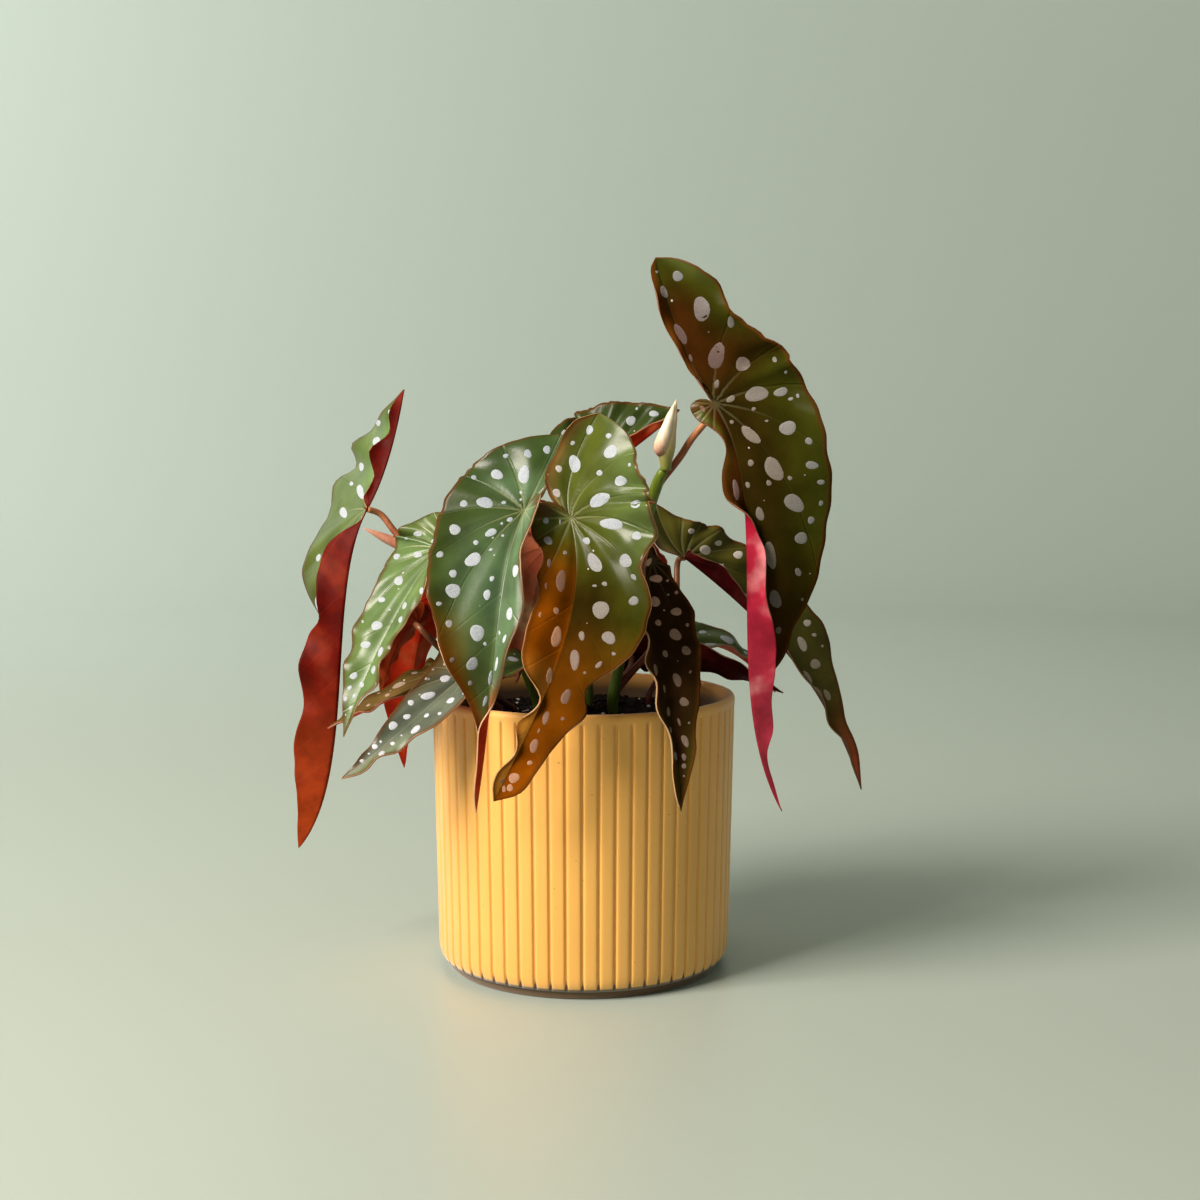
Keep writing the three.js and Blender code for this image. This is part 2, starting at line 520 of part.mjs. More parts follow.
/** The open surface of a leaf: one strip of ribs for each half, lobe and ear. */
function leafSurface(leaf) {
  const { at } = leafShape(leaf);
  const lobe = steps(0, 1, LOBE_STATIONS).map((t) => -1 + t ** 1.5);
  const blade = steps(0, 1, leaf.stations);
  const strips = [
    ['wide', [...lobe, ...blade.slice(1)]],
    ['narrow', [...blade].reverse()],
    ['ear', steps(0, 1, EAR_STATIONS)],
    ['inner', [...lobe].reverse()],
  ];
  const points = [];
  const triangles = [];
  for (const [half, stations] of strips) {
    const first = points.length;
    for (const u of stations) {
      for (const r of ACROSS) points.push(at(half, u, r));
    }
    const cell = (i, j) => first + i * ACROSS.length + j;
    for (let i = 0; i + 1 < stations.length; i += 1) {
      for (let j = 0; j + 1 < ACROSS.length; j += 1) {
        const [a, b, c, d] = [cell(i, j), cell(i + 1, j), cell(i + 1, j + 1), cell(i, j + 1)];
        if (leaf.side > 0) triangles.push([a, b, c], [a, c, d]);
        else triangles.push([a, c, b], [a, d, c]);
      }
    }
  }
  return closed(meshOf(points, triangles));
}

const leafGreen = new THREE.MeshStandardMaterial({ color: '#3f5a2c', roughness: 0.4 });
for (const leaf of LEAVES) add(leaf.name, thicken(leafSurface(leaf), BLADE), leafGreen.clone());

// ---------- the stems ----------
//
// Each stem is one cane with the leaf stalks that grow from it. A cane and a stalk that comes
// straight out of the soil both stand upright in a plain hole at their root's place, and then
// pass the points of their route. A stalk of a cane leaves it at a share of its length. Each
// stalk ends just under its leaf, square to the blade.

const STEMS = [
  {
    name: 'stem_right', root: [13, 8], cane: [[18, 4, 145], [24, -5, 180], [32, -12, 214], [35, -15, 221]],
    stalks: {
      leaf_upper_right: [0.93, [[42, -10, 226], [47, -13, 234]]],
      leaf_right_dark: [0.5, [[26, -20, 176]]],
      leaf_right_back: [0.16, [[40, 17, 152]]],
    },
  },
  {
    name: 'stem_left', root: [-21, 8], cane: [[-34, 6, 146], [-54, 3, 172], [-66, 2, 182]],
    stalks: {
      leaf_far_left: [0.97, [[-82, 2, 191]]],
      leaf_left_mid: [0.93, [[-66, -8, 182]]],
      leaf_left_back: [0.62, [[-46, 2, 184]]],
      leaf_left_red: [0.45, [[-54, 10, 160]]],
    },
  },
  {
    name: 'stem_center', root: [-4, 12], cane: [[-6, 8, 140], [-8, -2, 168], [-10, -12, 188]],
    stalks: {
      leaf_front_center: [0.97, [[-6, -30, 200]]],
      leaf_front_left: [0.9, [[-18, -26, 200]]],
      leaf_top_back: [0.75, [[2, 8, 200]]],
      leaf_center_back: [0.55, [[-12, 4, 172]]],
    },
  },
  {
    name: 'stem_rear', root: [2, 34], cane: [[0, 36, 134], [-6, 38, 150]],
    stalks: {
      leaf_rear_right: [0.9, [[4, 40, 168]]],
      leaf_rear_left: [0.97, [[-18, 38, 170]]],
      leaf_rear_low: [0.6, [[-3, 44, 129]]],
    },
  },
];

const SOIL_STALKS = {
  leaf_left_spotted: [-30, -16],
  leaf_left_edge: [-38, -2],
  leaf_left_small_red: [-44, 12],
  leaf_right_low: [14, 28],
  leaf_right_rear: [30, 33],
  leaf_center_low: [-8, -14],
};

/** The upright start of a stem, from the bottom of its hole to just above the soil. */
const rootRoute = ([x, y]) => [-ROOT_DEPTH, -ROOT_DEPTH / 2, 0, 4].map((z) => [x, y, SOIL_TOP + z]);

/** Where a leaf's stalk ends under the blade, and a point that it passes just before. */
function stalkEnd(name) {
  const leaf = LEAVES.find((one) => one.name === name);
  const { centre, up } = leafShape(leaf).frame(0);
  const end = centre.clone().addScaledVector(up, -(BLADE / 2 + GAP));
  return [end.clone().addScaledVector(up, -STALK_ENTRY).toArray(), end.toArray()];
}

function makeStem({ root, cane, stalks }) {
  const route = [...rootRoute(root), ...cane];
  const curve = new THREE.CatmullRomCurve3(route.map(point), false, 'centripetal');
  let solid = toSolid(tube(route, CANE_RADIUS, CANE_RADIUS * CANE_TOP, 7, 10));
  for (const [leaf, [share, via]] of Object.entries(stalks)) {
    const stalk = [curve.getPointAt(share).toArray(), ...via, ...stalkEnd(leaf)];
    solid = solid.add(toSolid(tube(stalk, STALK_RADIUS, STALK_RADIUS * STALK_TOP, 6, 6)));
  }
  return toGeometry(solid);
}

const stemGreen = new THREE.MeshStandardMaterial({ color: '#6f8f33', roughness: 0.5 });
const stalkBrown = new THREE.MeshStandardMaterial({ color: '#8a5a3a', roughness: 0.55 });
for (const stem of STEMS) add(stem.name, makeStem(stem), stemGreen.clone());
for (const [leaf, root] of Object.entries(SOIL_STALKS)) {
  const route = [...rootRoute(root), ...stalkEnd(leaf)];
  const stalk = tube(route, STALK_RADIUS, STALK_RADIUS * STALK_TOP);
  add(leaf.replace('leaf', 'stalk'), stalk, stalkBrown.clone());
}

// ---------- the bud and the bract ----------

/** A pointed sheath round a straight line, whose radius follows a hump. */
function sheath(from, to, radius, rise, run, sides = 8, count = 6) {
  const [a, b] = [point(from), point(to)];
  const along = b.clone().sub(a).normalize();
  const across = new THREE.Vector3(0, 1, 0).cross(along).normalize();
  const deep = along.clone().cross(across);
  const rings = steps(0.04, 0.94, count).map((t) => {
    const size = radius * hump(t, rise, run);
    return Array.from({ length: sides }, (_, i) => {
      const turn = (i / sides) * 2 * Math.PI;
      return a.clone().lerp(b, t)
        .addScaledVector(across, size * Math.cos(turn))
        .addScaledVector(deep, size * 0.8 * Math.sin(turn));
    });
  });
  return ringSolid(a, rings, b);
}

const budCream = new THREE.MeshStandardMaterial({ color: '#d8cba4', roughness: 0.6 });
add('bud', sheath([35.3, -15.4, 221.3], [40, -18, 251], 5, 0.35, 0.85), budCream);
add('bract_left', sheath([-68.8, -1.8, 184.6], [-97, -5, 195], 2.6, 0.5, 0.9), stalkBrown.clone());

// ---------- the soil ----------

function makeSoil() {
  const ring = (radius, z, bump = 0) => Array.from({ length: SOIL_SIDES }, (_, i) => {
    const turn = (i / SOIL_SIDES) * 2 * Math.PI;
    const height = bump * Math.sin(5 * turn + radius) * Math.cos(radius / 7 + 3 * turn);
    return new THREE.Vector3(radius * Math.cos(turn), radius * Math.sin(turn), z + height);
  });
  const wallAt = (z) => RIM_RADIUS - WALL - TAPER * (1 - (z - FLOOR) / (POT_HEIGHT - FLOOR));
  const rings = [
    ring(wallAt(FLOOR) - 2 * GAP, FLOOR + GAP),
    ring(wallAt(SOIL_TOP) - 2 * GAP, SOIL_TOP),
    ring(0.6 * RIM_RADIUS, SOIL_TOP, SOIL_BUMP),
  ];
  const block = toSolid(ringSolid(point([0, 0, FLOOR + GAP]), rings, point([0, 0, SOIL_TOP])));
  const holes = [
    ...STEMS.map(({ root }) => [root, CANE_RADIUS]),
    ...Object.values(SOIL_STALKS).map((root) => [root, STALK_RADIUS]),
  ];
  const drill = ([[x, y], radius]) => {
    const hole = new THREE.CylinderGeometry(radius + GAP, radius + GAP, 2 * ROOT_DEPTH, 10);
    hole.rotateX(Math.PI / 2).translate(x, y, SOIL_TOP - GAP);
    return toSolid(closed(hole));
  };
  return toGeometry(holes.map(drill).reduce((soil, hole) => soil.subtract(hole), block));
}

add('soil', makeSoil(), new THREE.MeshStandardMaterial({ color: '#2e241c', roughness: 0.95 }));

export default plant;
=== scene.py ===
# %% [markdown]
# # A potted polka dot begonia
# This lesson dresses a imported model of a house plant: spotted angel-wing leaves with red backs,
# on green canes, in a fluted pot of ochre-yellow ceramic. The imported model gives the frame, so each
# piece is made in place, in metres, with +Z up and the front towards -Y. The leaf's shape is a
# small set of rules. The same rules, with the same named values, shaped the plain solids.

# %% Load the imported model
import math
import random

import bmesh
import bpy
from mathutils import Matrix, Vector, geometry, noise
from mathutils.bvhtree import BVHTree
from mathutils.interpolate import poly_3d_calc


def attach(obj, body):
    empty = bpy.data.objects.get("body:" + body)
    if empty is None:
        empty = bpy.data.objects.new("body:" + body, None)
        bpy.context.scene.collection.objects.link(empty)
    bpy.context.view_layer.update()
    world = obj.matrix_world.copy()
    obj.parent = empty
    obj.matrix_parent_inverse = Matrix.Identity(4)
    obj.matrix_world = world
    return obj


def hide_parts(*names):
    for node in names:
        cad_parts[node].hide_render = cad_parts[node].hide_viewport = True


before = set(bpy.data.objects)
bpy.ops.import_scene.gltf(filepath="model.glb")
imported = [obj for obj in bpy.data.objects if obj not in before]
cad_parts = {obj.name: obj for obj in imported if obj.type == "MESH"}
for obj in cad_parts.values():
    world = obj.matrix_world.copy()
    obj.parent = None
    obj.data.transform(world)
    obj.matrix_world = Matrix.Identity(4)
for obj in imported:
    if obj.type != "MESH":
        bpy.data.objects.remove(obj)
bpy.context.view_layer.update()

MM = 0.001

# %% [markdown]
# ## Small helpers
# Colours are written as sRGB hex values, as a painter would read them off a chart, and Blender
# wants linear light, so one function converts them. Shader trees get their nodes from one function,
# which sets the options and either fills or links the sockets.


# %% Helpers for colours and nodes
def linear(hex_colour):
    """Linear red, green, blue and alpha of a colour such as #2f5230."""
    parts = [int(hex_colour[i:i + 2], 16) / 255 for i in (1, 3, 5)]
    light = [p / 12.92 if p <= 0.04045 else ((p + 0.055) / 1.055) ** 2.4 for p in parts]
    return light + [1.0]


def mix(a, b, t):
    return a + (b - a) * t


def clamp(x, low=0.0, high=1.0):
    return min(max(x, low), high)


def ease(x, a, b):
    """0 before a, 1 after b, with a soft start and end."""
    t = clamp((x - a) / (b - a))
    return t * t * (3 - 2 * t)


def add_node(tree, kind, options=None, sockets=None):
    """One node of a kind. A socket gets a value, or a link from a node's first output or a socket."""
    made = tree.nodes.new(kind)
    for name, value in (options or {}).items():
        setattr(made, name, value)
    for name, value in (sockets or {}).items():
        if isinstance(value, bpy.types.Node):
            value = value.outputs[0]
        if isinstance(value, bpy.types.NodeSocket):
            tree.links.new(value, made.inputs[name])
        else:
            made.inputs[name].default_value = value
    return made


def new_material(name):
    """An empty material with only its output node."""
    material = bpy.data.materials.new(name)
    material.use_nodes = True
    material.node_tree.nodes.clear()
    output = add_node(material.node_tree, "ShaderNodeOutputMaterial")
    return material, material.node_tree, output


# %% [markdown]
# ### Meshes
# Nearly every piece here starts as a flat grid that is wrapped over a shape by a rule: a stave, a
# leaf's half, a tube or a spot. Where a grid meets itself or its neighbour, the doubled points are
# merged, and the faces are then turned outwards. A finished mesh is put in place by its own points,
# so its object stays at the origin, and it rides on the part's only body.


# %% Helpers for meshes
def grid(bm, columns, rows, place):
    """A grid of faces whose point in column i and row j goes to place(i, j)."""
    made = bmesh.ops.create_grid(bm, x_segments=columns, y_segments=rows, size=0.5)
    for vert in made["verts"]:
        i = round((vert.co.x + 0.5) * columns)
        j = round((vert.co.y + 0.5) * rows)
        vert.co = place(i, j)
    return made["verts"]


def corners_of(verts):
    """Every face corner that touches one of the points, once."""
    for face in {face for vert in verts for face in vert.link_faces}:
        yield from face.loops


def toned_mesh():
    """An empty bmesh whose corners hold a tone, and the layer that the tone goes to."""
    bm = bmesh.new()
    return bm, bm.loops.layers.float_color.new("tone")


def close(bm, merge=1e-5):
    """Merges the points that are less than merge metres apart and turns the faces outwards."""
    bmesh.ops.remove_doubles(bm, verts=bm.verts, dist=merge)
    bmesh.ops.recalc_face_normals(bm, faces=bm.faces)


def new_object(name, bm, materials, smooth=True):
    """An object made of a bmesh whose places are in metres and already right."""
    mesh = bpy.data.meshes.new(name)
    for face in bm.faces:
        face.smooth = smooth
    bm.to_mesh(mesh)
    bm.free()
    made = bpy.data.objects.new(name, mesh)
    bpy.context.scene.collection.objects.link(made)
    for material in materials:
        mesh.materials.append(material)
    return made


def finish_piece(name, bm, materials, smooth=True):
    piece = new_object(name, bm, materials, smooth)
    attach(piece, "root")
    return piece


# %% [markdown]
# ## The camera
# The photograph was taken from a little above the pot's rim, about three quarters of a metre away.
# The lens and the place below put the pot, the leaf tips and the bud where the photograph has them.
# There is no shift and no blur, so that every other view keeps the same camera.

# %% Camera
CAMERA_PLACE = (0.0073, -0.776, 0.236)  # metres
CAMERA_TILT = 84.6  # degrees up from straight down, so it looks down a little
CAMERA_LENS = 52.5  # mm
CAMERA_SENSOR = 36  # mm

camera_data = bpy.data.cameras.new("camera")
camera_data.lens = CAMERA_LENS
camera_data.sensor_width = CAMERA_SENSOR
camera = bpy.data.objects.new("camera", camera_data)
camera.location = CAMERA_PLACE
camera.rotation_euler = (math.radians(CAMERA_TILT), 0, 0)
bpy.context.scene.collection.objects.link(camera)
bpy.context.scene.camera = camera
bpy.context.scene.view_settings.view_transform = "Standard"
print("Camera at", CAMERA_PLACE, "with a lens of", CAMERA_LENS, "mm")

# %% [markdown]
# ## The floor
# A studio floor is a painted sheet that curves up all round, so that no horizon line shows from any
# side. A plane would need a wall behind it and would end somewhere, so a profile is spun round the
# upright axis instead. A pale satin paint gives the faint mirror image of the pot.

# %% Floor
FLOOR_FLAT = 1.6  # metres, where the flat part ends
FLOOR_CURVE = 1.2  # metres, the radius of the curve that goes up
FLOOR_WALL = 3.2  # metres, the height of the sheet
FLOOR_CURVE_STEPS = 12
FLOOR_STEPS = 72


def make_floor():
    bm = bmesh.new()
    profile = [(0.0, 0.0), (0.3, 0.0), (FLOOR_FLAT, 0.0)]
    for k in range(1, FLOOR_CURVE_STEPS + 1):
        turn = math.radians(90 * k / FLOOR_CURVE_STEPS)
        profile.append((FLOOR_FLAT + FLOOR_CURVE * math.sin(turn), FLOOR_CURVE * (1 - math.cos(turn))))
    profile.append((FLOOR_FLAT + FLOOR_CURVE, FLOOR_WALL))
    verts = [bm.verts.new((r, 0, z)) for r, z in profile]
    edges = [bm.edges.new(pair) for pair in zip(verts, verts[1:])]
    bmesh.ops.spin(bm, geom=verts + edges, cent=(0, 0, 0), axis=(0, 0, 1),
                   angle=2 * math.pi, steps=FLOOR_STEPS, use_merge=True)
    close(bm)
    material, tree, output = new_material("floor_paint")
    paint = add_node(tree, "ShaderNodeBsdfPrincipled", {}, {
        "Base Color": linear("#a1aba3"), "Roughness": 0.38, "Specular IOR Level": 0.4})
    tree.links.new(paint.outputs[0], output.inputs[0])
    floor = new_object("floor", bm, [material])
    print("The floor is", round(2 * (FLOOR_FLAT + FLOOR_CURVE), 1), "m across")


make_floor()

# %% [markdown]
# ## The light
# Three soft boxes and a dim warm room light the plant. The key stands at the left, above and in
# front, and draws the shadow to the right. A wide weak box at the right keeps the shade open, and a
# third lights the wall behind, which is brighter at the left.


# %% Lights
def add_light(name, place, aim, size, power, colour):
    """A square soft box at a place, aimed at another; the power is in watts."""
    data = bpy.data.lights.new(name, "AREA")
    data.size = size
    data.energy = power
    data.color = linear(colour)[:3]
    light = bpy.data.objects.new(name, data)
    light.location = place
    light.rotation_euler = (Vector(place) - Vector(aim)).to_track_quat("Z", "Y").to_euler()
    bpy.context.scene.collection.objects.link(light)


add_light("key", (-1.2, -0.84, 1.15), (0, 0, 0.12), 0.8, 68, "#fff5e9")
add_light("fill", (1.0, -1.6, 0.9), (0, 0, 0.15), 1.6, 1.6, "#eef4ff")
add_light("wall", (-1.5, 0.9, 1.7), (-1.1, 2.6, 1.1), 1.0, 58, "#fbfaf6")

world = bpy.data.worlds.new("studio")
bpy.context.scene.world = world
world.use_nodes = True
room = world.node_tree.nodes["Background"]
room.inputs["Color"].default_value = linear("#ebe4ca")
room.inputs["Strength"].default_value = 0.37
print("Lights:", [light.name for light in bpy.data.lights])

# %% [markdown]
# ## The pot
# The real pot is a cylinder of stoneware with 60 flat staves, a narrow groove between each two, a
# plain band and a rounded lip, dipped in a satin ochre glaze. A lathe can't cut grooves that run
# upwards, so the profile is laid out as one stave, groove included, and that stave is then spun
# round the axis in 60 copies, whose doubles are merged.

# %% Pot
POT_HEIGHT = 121.5
RIM_RADIUS = 67.5
WAIST_RADIUS = 65.3  # where the wall meets the rounded bottom corner
FOOT_RADIUS = 61
FLUTES = 60
GROOVE_DEPTH = 1.0
# Across a stave, as shares of its pitch, with the groove's depth there as a share of GROOVE_DEPTH.
STAVE = [(-0.5, 0), (-0.34, 0), (-0.18, 0), (-0.13, 0.1), (-0.1, 0.42), (-0.06, 0.86), (0, 1),
         (0.06, 0.86), (0.1, 0.42), (0.13, 0.1), (0.18, 0), (0.34, 0), (0.5, 0)]
# From under the foot, up the outside, over the lip and down the inside: radius, height, groove.
POT_PROFILE = [
    (0, 1.2, 0), (54, 1.2, 0), (56.5, 0.5, 0), (57.5, 0.05, 0), (60, 0, 0), (60.8, 0.3, 0),
    (FOOT_RADIUS, 1, 0), (FOOT_RADIUS, 2.9, 0), (61.5, 3.35, 0), (62.6, 3.7, 0.15), (63.6, 4.5, 0.6),
    (64.4, 5.8, 0.9), (64.95, 7.6, 1), (65.2, 9.8, 1), (WAIST_RADIUS, 12.5, 1), (65.6, 30, 1),
    (66.1, 55, 1), (66.7, 85, 1), (67.1, 105, 1), (67.25, 115.2, 1), (67.3, 116.3, 0.9),
    (67.35, 117.1, 0.5), (67.4, 117.7, 0.1), (67.45, 118.1, 0), (RIM_RADIUS, 118.7, 0),
    (RIM_RADIUS, 119.4, 0), (67.25, 120.3, 0), (66.6, 121.15, 0), (65.6, POT_HEIGHT, 0),
    (64.8, 121.3, 0), (64.1, 120.7, 0), (63.6, 119.6, 0), (63.4, 117, 0), (62.9, 90, 0),
    (61.3, 12, 0), (60.3, 8, 0), (57, 6, 0), (0, 6, 0),
]


def make_pot(glaze):
    bm = bmesh.new()

    def place(i, j):
        share, dip = STAVE[i]
        radius, height, groove = POT_PROFILE[j]
        turn = math.radians(-90) + (share / FLUTES) * 2 * math.pi
        r = radius - dip * groove * GROOVE_DEPTH
        return Vector((r * math.cos(turn), r * math.sin(turn), height)) * MM

    grid(bm, len(STAVE) - 1, len(POT_PROFILE) - 1, place)
    stave = bm.verts[:] + bm.edges[:] + bm.faces[:]
    bmesh.ops.spin(bm, geom=stave, cent=(0, 0, 0), axis=(0, 0, 1),
                   angle=2 * math.pi * (FLUTES - 1) / FLUTES, steps=FLUTES - 1, use_duplicate=True)
    close(bm)
    pot = finish_piece("pot_fluted", bm, [glaze])
    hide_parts("pot")
    print("The pot has", len(pot.data.polygons), "faces")


# %% [markdown]
# ### Satin ochre glaze
# A satin glaze on stoneware is a thin glass that has crystallised, so its gloss is soft and wide.
# Tiny dark specks of iron come through it, and the clay's slow unevenness shows as a faint ripple in
# the gloss. The noise lies on Object coordinates, so it keeps its size in millimetres on every side.
# Inside, a painted shade darkens the glaze of the inner wall up to just under the lip.


# %% Glaze
def make_glaze():
    material, tree, output = new_material("satin_ochre_glaze")
    place = add_node(tree, "ShaderNodeTexCoord").outputs["Object"]
    cloud = add_node(tree, "ShaderNodeTexNoise", {}, {
        "Vector": place, "Scale": 1 / (40 * MM), "Detail": 3.0, "Roughness": 0.55})
    body = add_node(tree, "ShaderNodeMix", {"data_type": "RGBA"}, {
        0: cloud.outputs["Fac"], 6: linear("#dd9f42"), 7: linear("#e5ab50")})
    grain = add_node(tree, "ShaderNodeTexNoise", {}, {
        "Vector": place, "Scale": 1 / (1.6 * MM), "Detail": 2.0})
    speck = add_node(tree, "ShaderNodeMapRange", {}, {
        "Value": grain.outputs["Fac"], "From Min": 0.735, "From Max": 0.8})
    dotted = add_node(tree, "ShaderNodeMix", {"data_type": "RGBA"}, {
        0: speck, 6: body.outputs[2], 7: linear("#8a5a20")})
    # The painted shade: 1 on the inner wall, which the distance from the axis tells apart, and low on it.
    flat = add_node(tree, "ShaderNodeVectorMath", {"operation": "MULTIPLY"}, {0: place, 1: (1, 1, 0)})
    out = add_node(tree, "ShaderNodeVectorMath", {"operation": "LENGTH"}, {0: flat})
    inside = add_node(tree, "ShaderNodeMapRange", {}, {
        "Value": out.outputs["Value"], "From Min": 63.7 * MM, "From Max": 64.2 * MM, "To Min": 0.9,
        "To Max": 0.0})
    parts = add_node(tree, "ShaderNodeSeparateXYZ", {}, {0: place})
    low = add_node(tree, "ShaderNodeMapRange", {"interpolation_type": "SMOOTHSTEP"}, {
        "Value": parts.outputs[2], "From Min": 113 * MM, "From Max": 120 * MM, "To Min": 1.0,
        "To Max": 0.0})
    inner_shade = add_node(tree, "ShaderNodeMath", {"operation": "MULTIPLY"}, {0: inside, 1: low})
    inner_shaded = add_node(tree, "ShaderNodeMix", {"data_type": "RGBA"}, {
        0: inner_shade, 6: dotted.outputs[2], 7: linear("#2c1a0c")})
    gloss = add_node(tree, "ShaderNodeMapRange", {}, {
        "Value": cloud.outputs["Fac"], "To Min": 0.54, "To Max": 0.66})
    ripple = add_node(tree, "ShaderNodeBump", {}, {
        "Strength": 0.35, "Distance": 0.15 * MM, "Height": cloud.outputs["Fac"]})
    skin = add_node(tree, "ShaderNodeBump", {}, {
        "Strength": 0.12, "Distance": 0.05 * MM, "Height": grain.outputs["Fac"],
        "Normal": ripple})
    glaze = add_node(tree, "ShaderNodeBsdfPrincipled", {}, {
        "Base Color": inner_shaded.outputs[2], "Roughness": gloss, "Specular IOR Level": 0.5,
        "Sheen Weight": 0.5, "Sheen Roughness": 0.5, "Normal": skin})
    tree.links.new(glaze.outputs[0], output.inputs[0])
    return material


make_pot(make_glaze())

# %% [markdown]
# ## The soil
# Potting soil is dark peat with brown crumbs and white grains of perlite. The peat is one closed
# disc whose top is roughened with noise. The crumbs and grains are small rounded lumps, strewn by a
# seeded generator so that each run gives the same soil, and sunk into the peat by half.

# %% Soil
SOIL_TOP = 111
SOIL_RADIUS = 62.4
SOIL_DEPTH = 10  # how deep the disc of peat goes, which nobody sees
PEAT_TURNS = 140
PEAT_RINGS = 46
CRUMBS = 900
CRUMB_SIZES = (0.9, 3.2)
PERLITE = 90
PERLITE_SIZES = (1.0, 2.4)


def soil_height(x, y):
    """The height of the peat at a place, in millimetres."""
    spot = Vector((x, y, 0))
    slow = noise.noise(spot / 14) * 1.2
    fine = noise.noise(spot / 3.2) * 0.9
    return SOIL_TOP - 0.4 + slow + fine


def make_earth(name, kind, tones, roughness, size_mm, depth_mm):
    """Matt earth: a mix of tones in clumps of a given size, with a rough surface."""
    material, tree, output = new_material(name)
    place = add_node(tree, "ShaderNodeTexCoord").outputs["Object"]
    clumps = add_node(tree, kind, {}, {"Vector": place, "Scale": 1 / (size_mm * MM)})
    ramp = add_node(tree, "ShaderNodeValToRGB", {}, {"Fac": clumps})
    stops = ramp.color_ramp.elements
    stops[0].color, stops[1].color = linear(tones[0]), linear(tones[-1])
    for k, tone in enumerate(tones[1:-1], 1):
        stops.new(k / (len(tones) - 1)).color = linear(tone)
    rough = add_node(tree, "ShaderNodeBump", {}, {
        "Strength": 0.8, "Distance": depth_mm * MM, "Height": clumps})
    earth = add_node(tree, "ShaderNodeBsdfPrincipled", {}, {
        "Base Color": ramp, "Roughness": roughness, "Specular IOR Level": 0.2,
        "Normal": rough})
    tree.links.new(earth.outputs[0], output.inputs[0])
    return material


def make_peat(material):
    """A disc: rings of the top, then the side's lower edge, then the middle of the underside."""
    bm = bmesh.new()

    def place(i, j):
        turn = 2 * math.pi * i / PEAT_TURNS
        r = SOIL_RADIUS * min(j, PEAT_RINGS) / PEAT_RINGS
        x, y = r * math.cos(turn), r * math.sin(turn)
        z = soil_height(x, y) if j <= PEAT_RINGS else SOIL_TOP - SOIL_DEPTH
        if j == PEAT_RINGS + 2:
            x, y = 0, 0
        return Vector((x, y, z)) * MM

    grid(bm, PEAT_TURNS, PEAT_RINGS + 2, place)
    close(bm)
    peat = finish_piece("soil_peat", bm, [material])
    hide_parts("soil")


def strew(name, count, sizes, seed, material):
    """Strews small uneven lumps over the peat: sizes are the least and the greatest, in mm."""
    bm = bmesh.new()
    chance = random.Random(seed)
    for _ in range(count):
        turn = chance.uniform(0, 2 * math.pi)
        r = (SOIL_RADIUS - 2) * math.sqrt(chance.random())
        x, y = r * math.cos(turn), r * math.sin(turn)
        size = chance.uniform(*sizes) / 2
        lump = bmesh.ops.create_icosphere(bm, subdivisions=1, radius=size * MM)["verts"]
        stretch = [chance.uniform(0.7, 1.3), chance.uniform(0.7, 1.3), chance.uniform(0.55, 0.95)]
        centre = Vector((x, y, soil_height(x, y) + 0.25 * size)) * MM
        for vert in lump:
            bumpy = 1 + 0.25 * noise.noise(vert.co * 900 + Vector((x, y, size)))
            vert.co = Vector([c * s * bumpy for c, s in zip(vert.co, stretch)]) + centre
    piece = finish_piece(name, bm, [material], smooth=False)


# The peat and crumb tones are dark peat and bark, made darker still as painted shade from the leaves above.
SHADED_PEAT_TONES = ["#030201", "#080503", "#100a06"]
SHADED_CRUMB_TONES = ["#060403", "#140d07", "#2a1b10"]
PERLITE_TONES = ["#b9b0a4", "#d9d3c8"]
# Damp peat is matt, bark crumbs a little less so, and perlite is a white foamed glass.
damp_peat = make_earth("damp_peat", "ShaderNodeTexNoise", SHADED_PEAT_TONES, 0.95, 2.5, 1.2)
bark_crumbs = make_earth("bark_crumbs", "ShaderNodeTexVoronoi", SHADED_CRUMB_TONES, 0.9, 5, 0.3)
foamed_glass = make_earth("perlite", "ShaderNodeTexVoronoi", PERLITE_TONES, 0.85, 1, 0.3)
make_peat(damp_peat)
strew("soil_crumbs", CRUMBS, CRUMB_SIZES, 11, bark_crumbs)
strew("soil_perlite", PERLITE, PERLITE_SIZES, 23, foamed_glass)
print("Strewn on the soil:", CRUMBS, "crumbs and", PERLITE, "grains of perlite")

# %% [markdown]
# ## The shape of a leaf
# An angel-wing leaf is lopsided. Its midrib runs from the stalk to the tip, and the vein of its big
# lobe runs back from the stalk. A wide half and a narrow half rise from this spine, so the blade is
# folded like a V, and its edge is waved. Sculpting twenty of them by hand would be slow and would
# drift from the plain solids, so each leaf is a handful of values: where its stalk, its tip and its
# lobe are, which way it faces at the stalk and at the tip (azimuth and height, in degrees), how far
# its halves are raised (fold) and where that changes (turn), and how it is waved. Lengths are in mm.
#
# Most values of the nine leaves that show plainly aren't chosen by hand. A separate program fitted
# them to outlines that were traced by eye on the photograph, and some were changed by hand later.

# %% Leaf values
SPINE_BEND = 0.4  # how much the ribs follow the midrib's bend, against the leaf's chord
VEIN_BEND = 0.4  # how far the big lobe's vein runs straight back, as a share of its reach
NARROW_START = 0.12  # where the narrow half would begin, as a share of the midrib's length
PINCH_EASE = 0.09  # half the stretch of the midrib over which the pinch begins
LOBE_WAVES = 1.5  # how much closer the waves stand round the big lobe
EAR_SHARE = 0.45  # how far the small lobe reaches back, as a share of its width
BLADE = 0.7  # a leaf's thickness
PILLOW = 0.45  # how high the blade swells between two veins
CRINKLE = 0.008  # the small uneven steps of the edge, as a share of the width
VEIN_SPACING = 30  # degrees between two veins of the fan
BRANCH_SPACING = 19  # mm between two branches of the midrib
CURVE_STEPS = 64  # steps in which a spine is measured
STEP = 0.01  # a small step of u or r, to find which way the blade faces

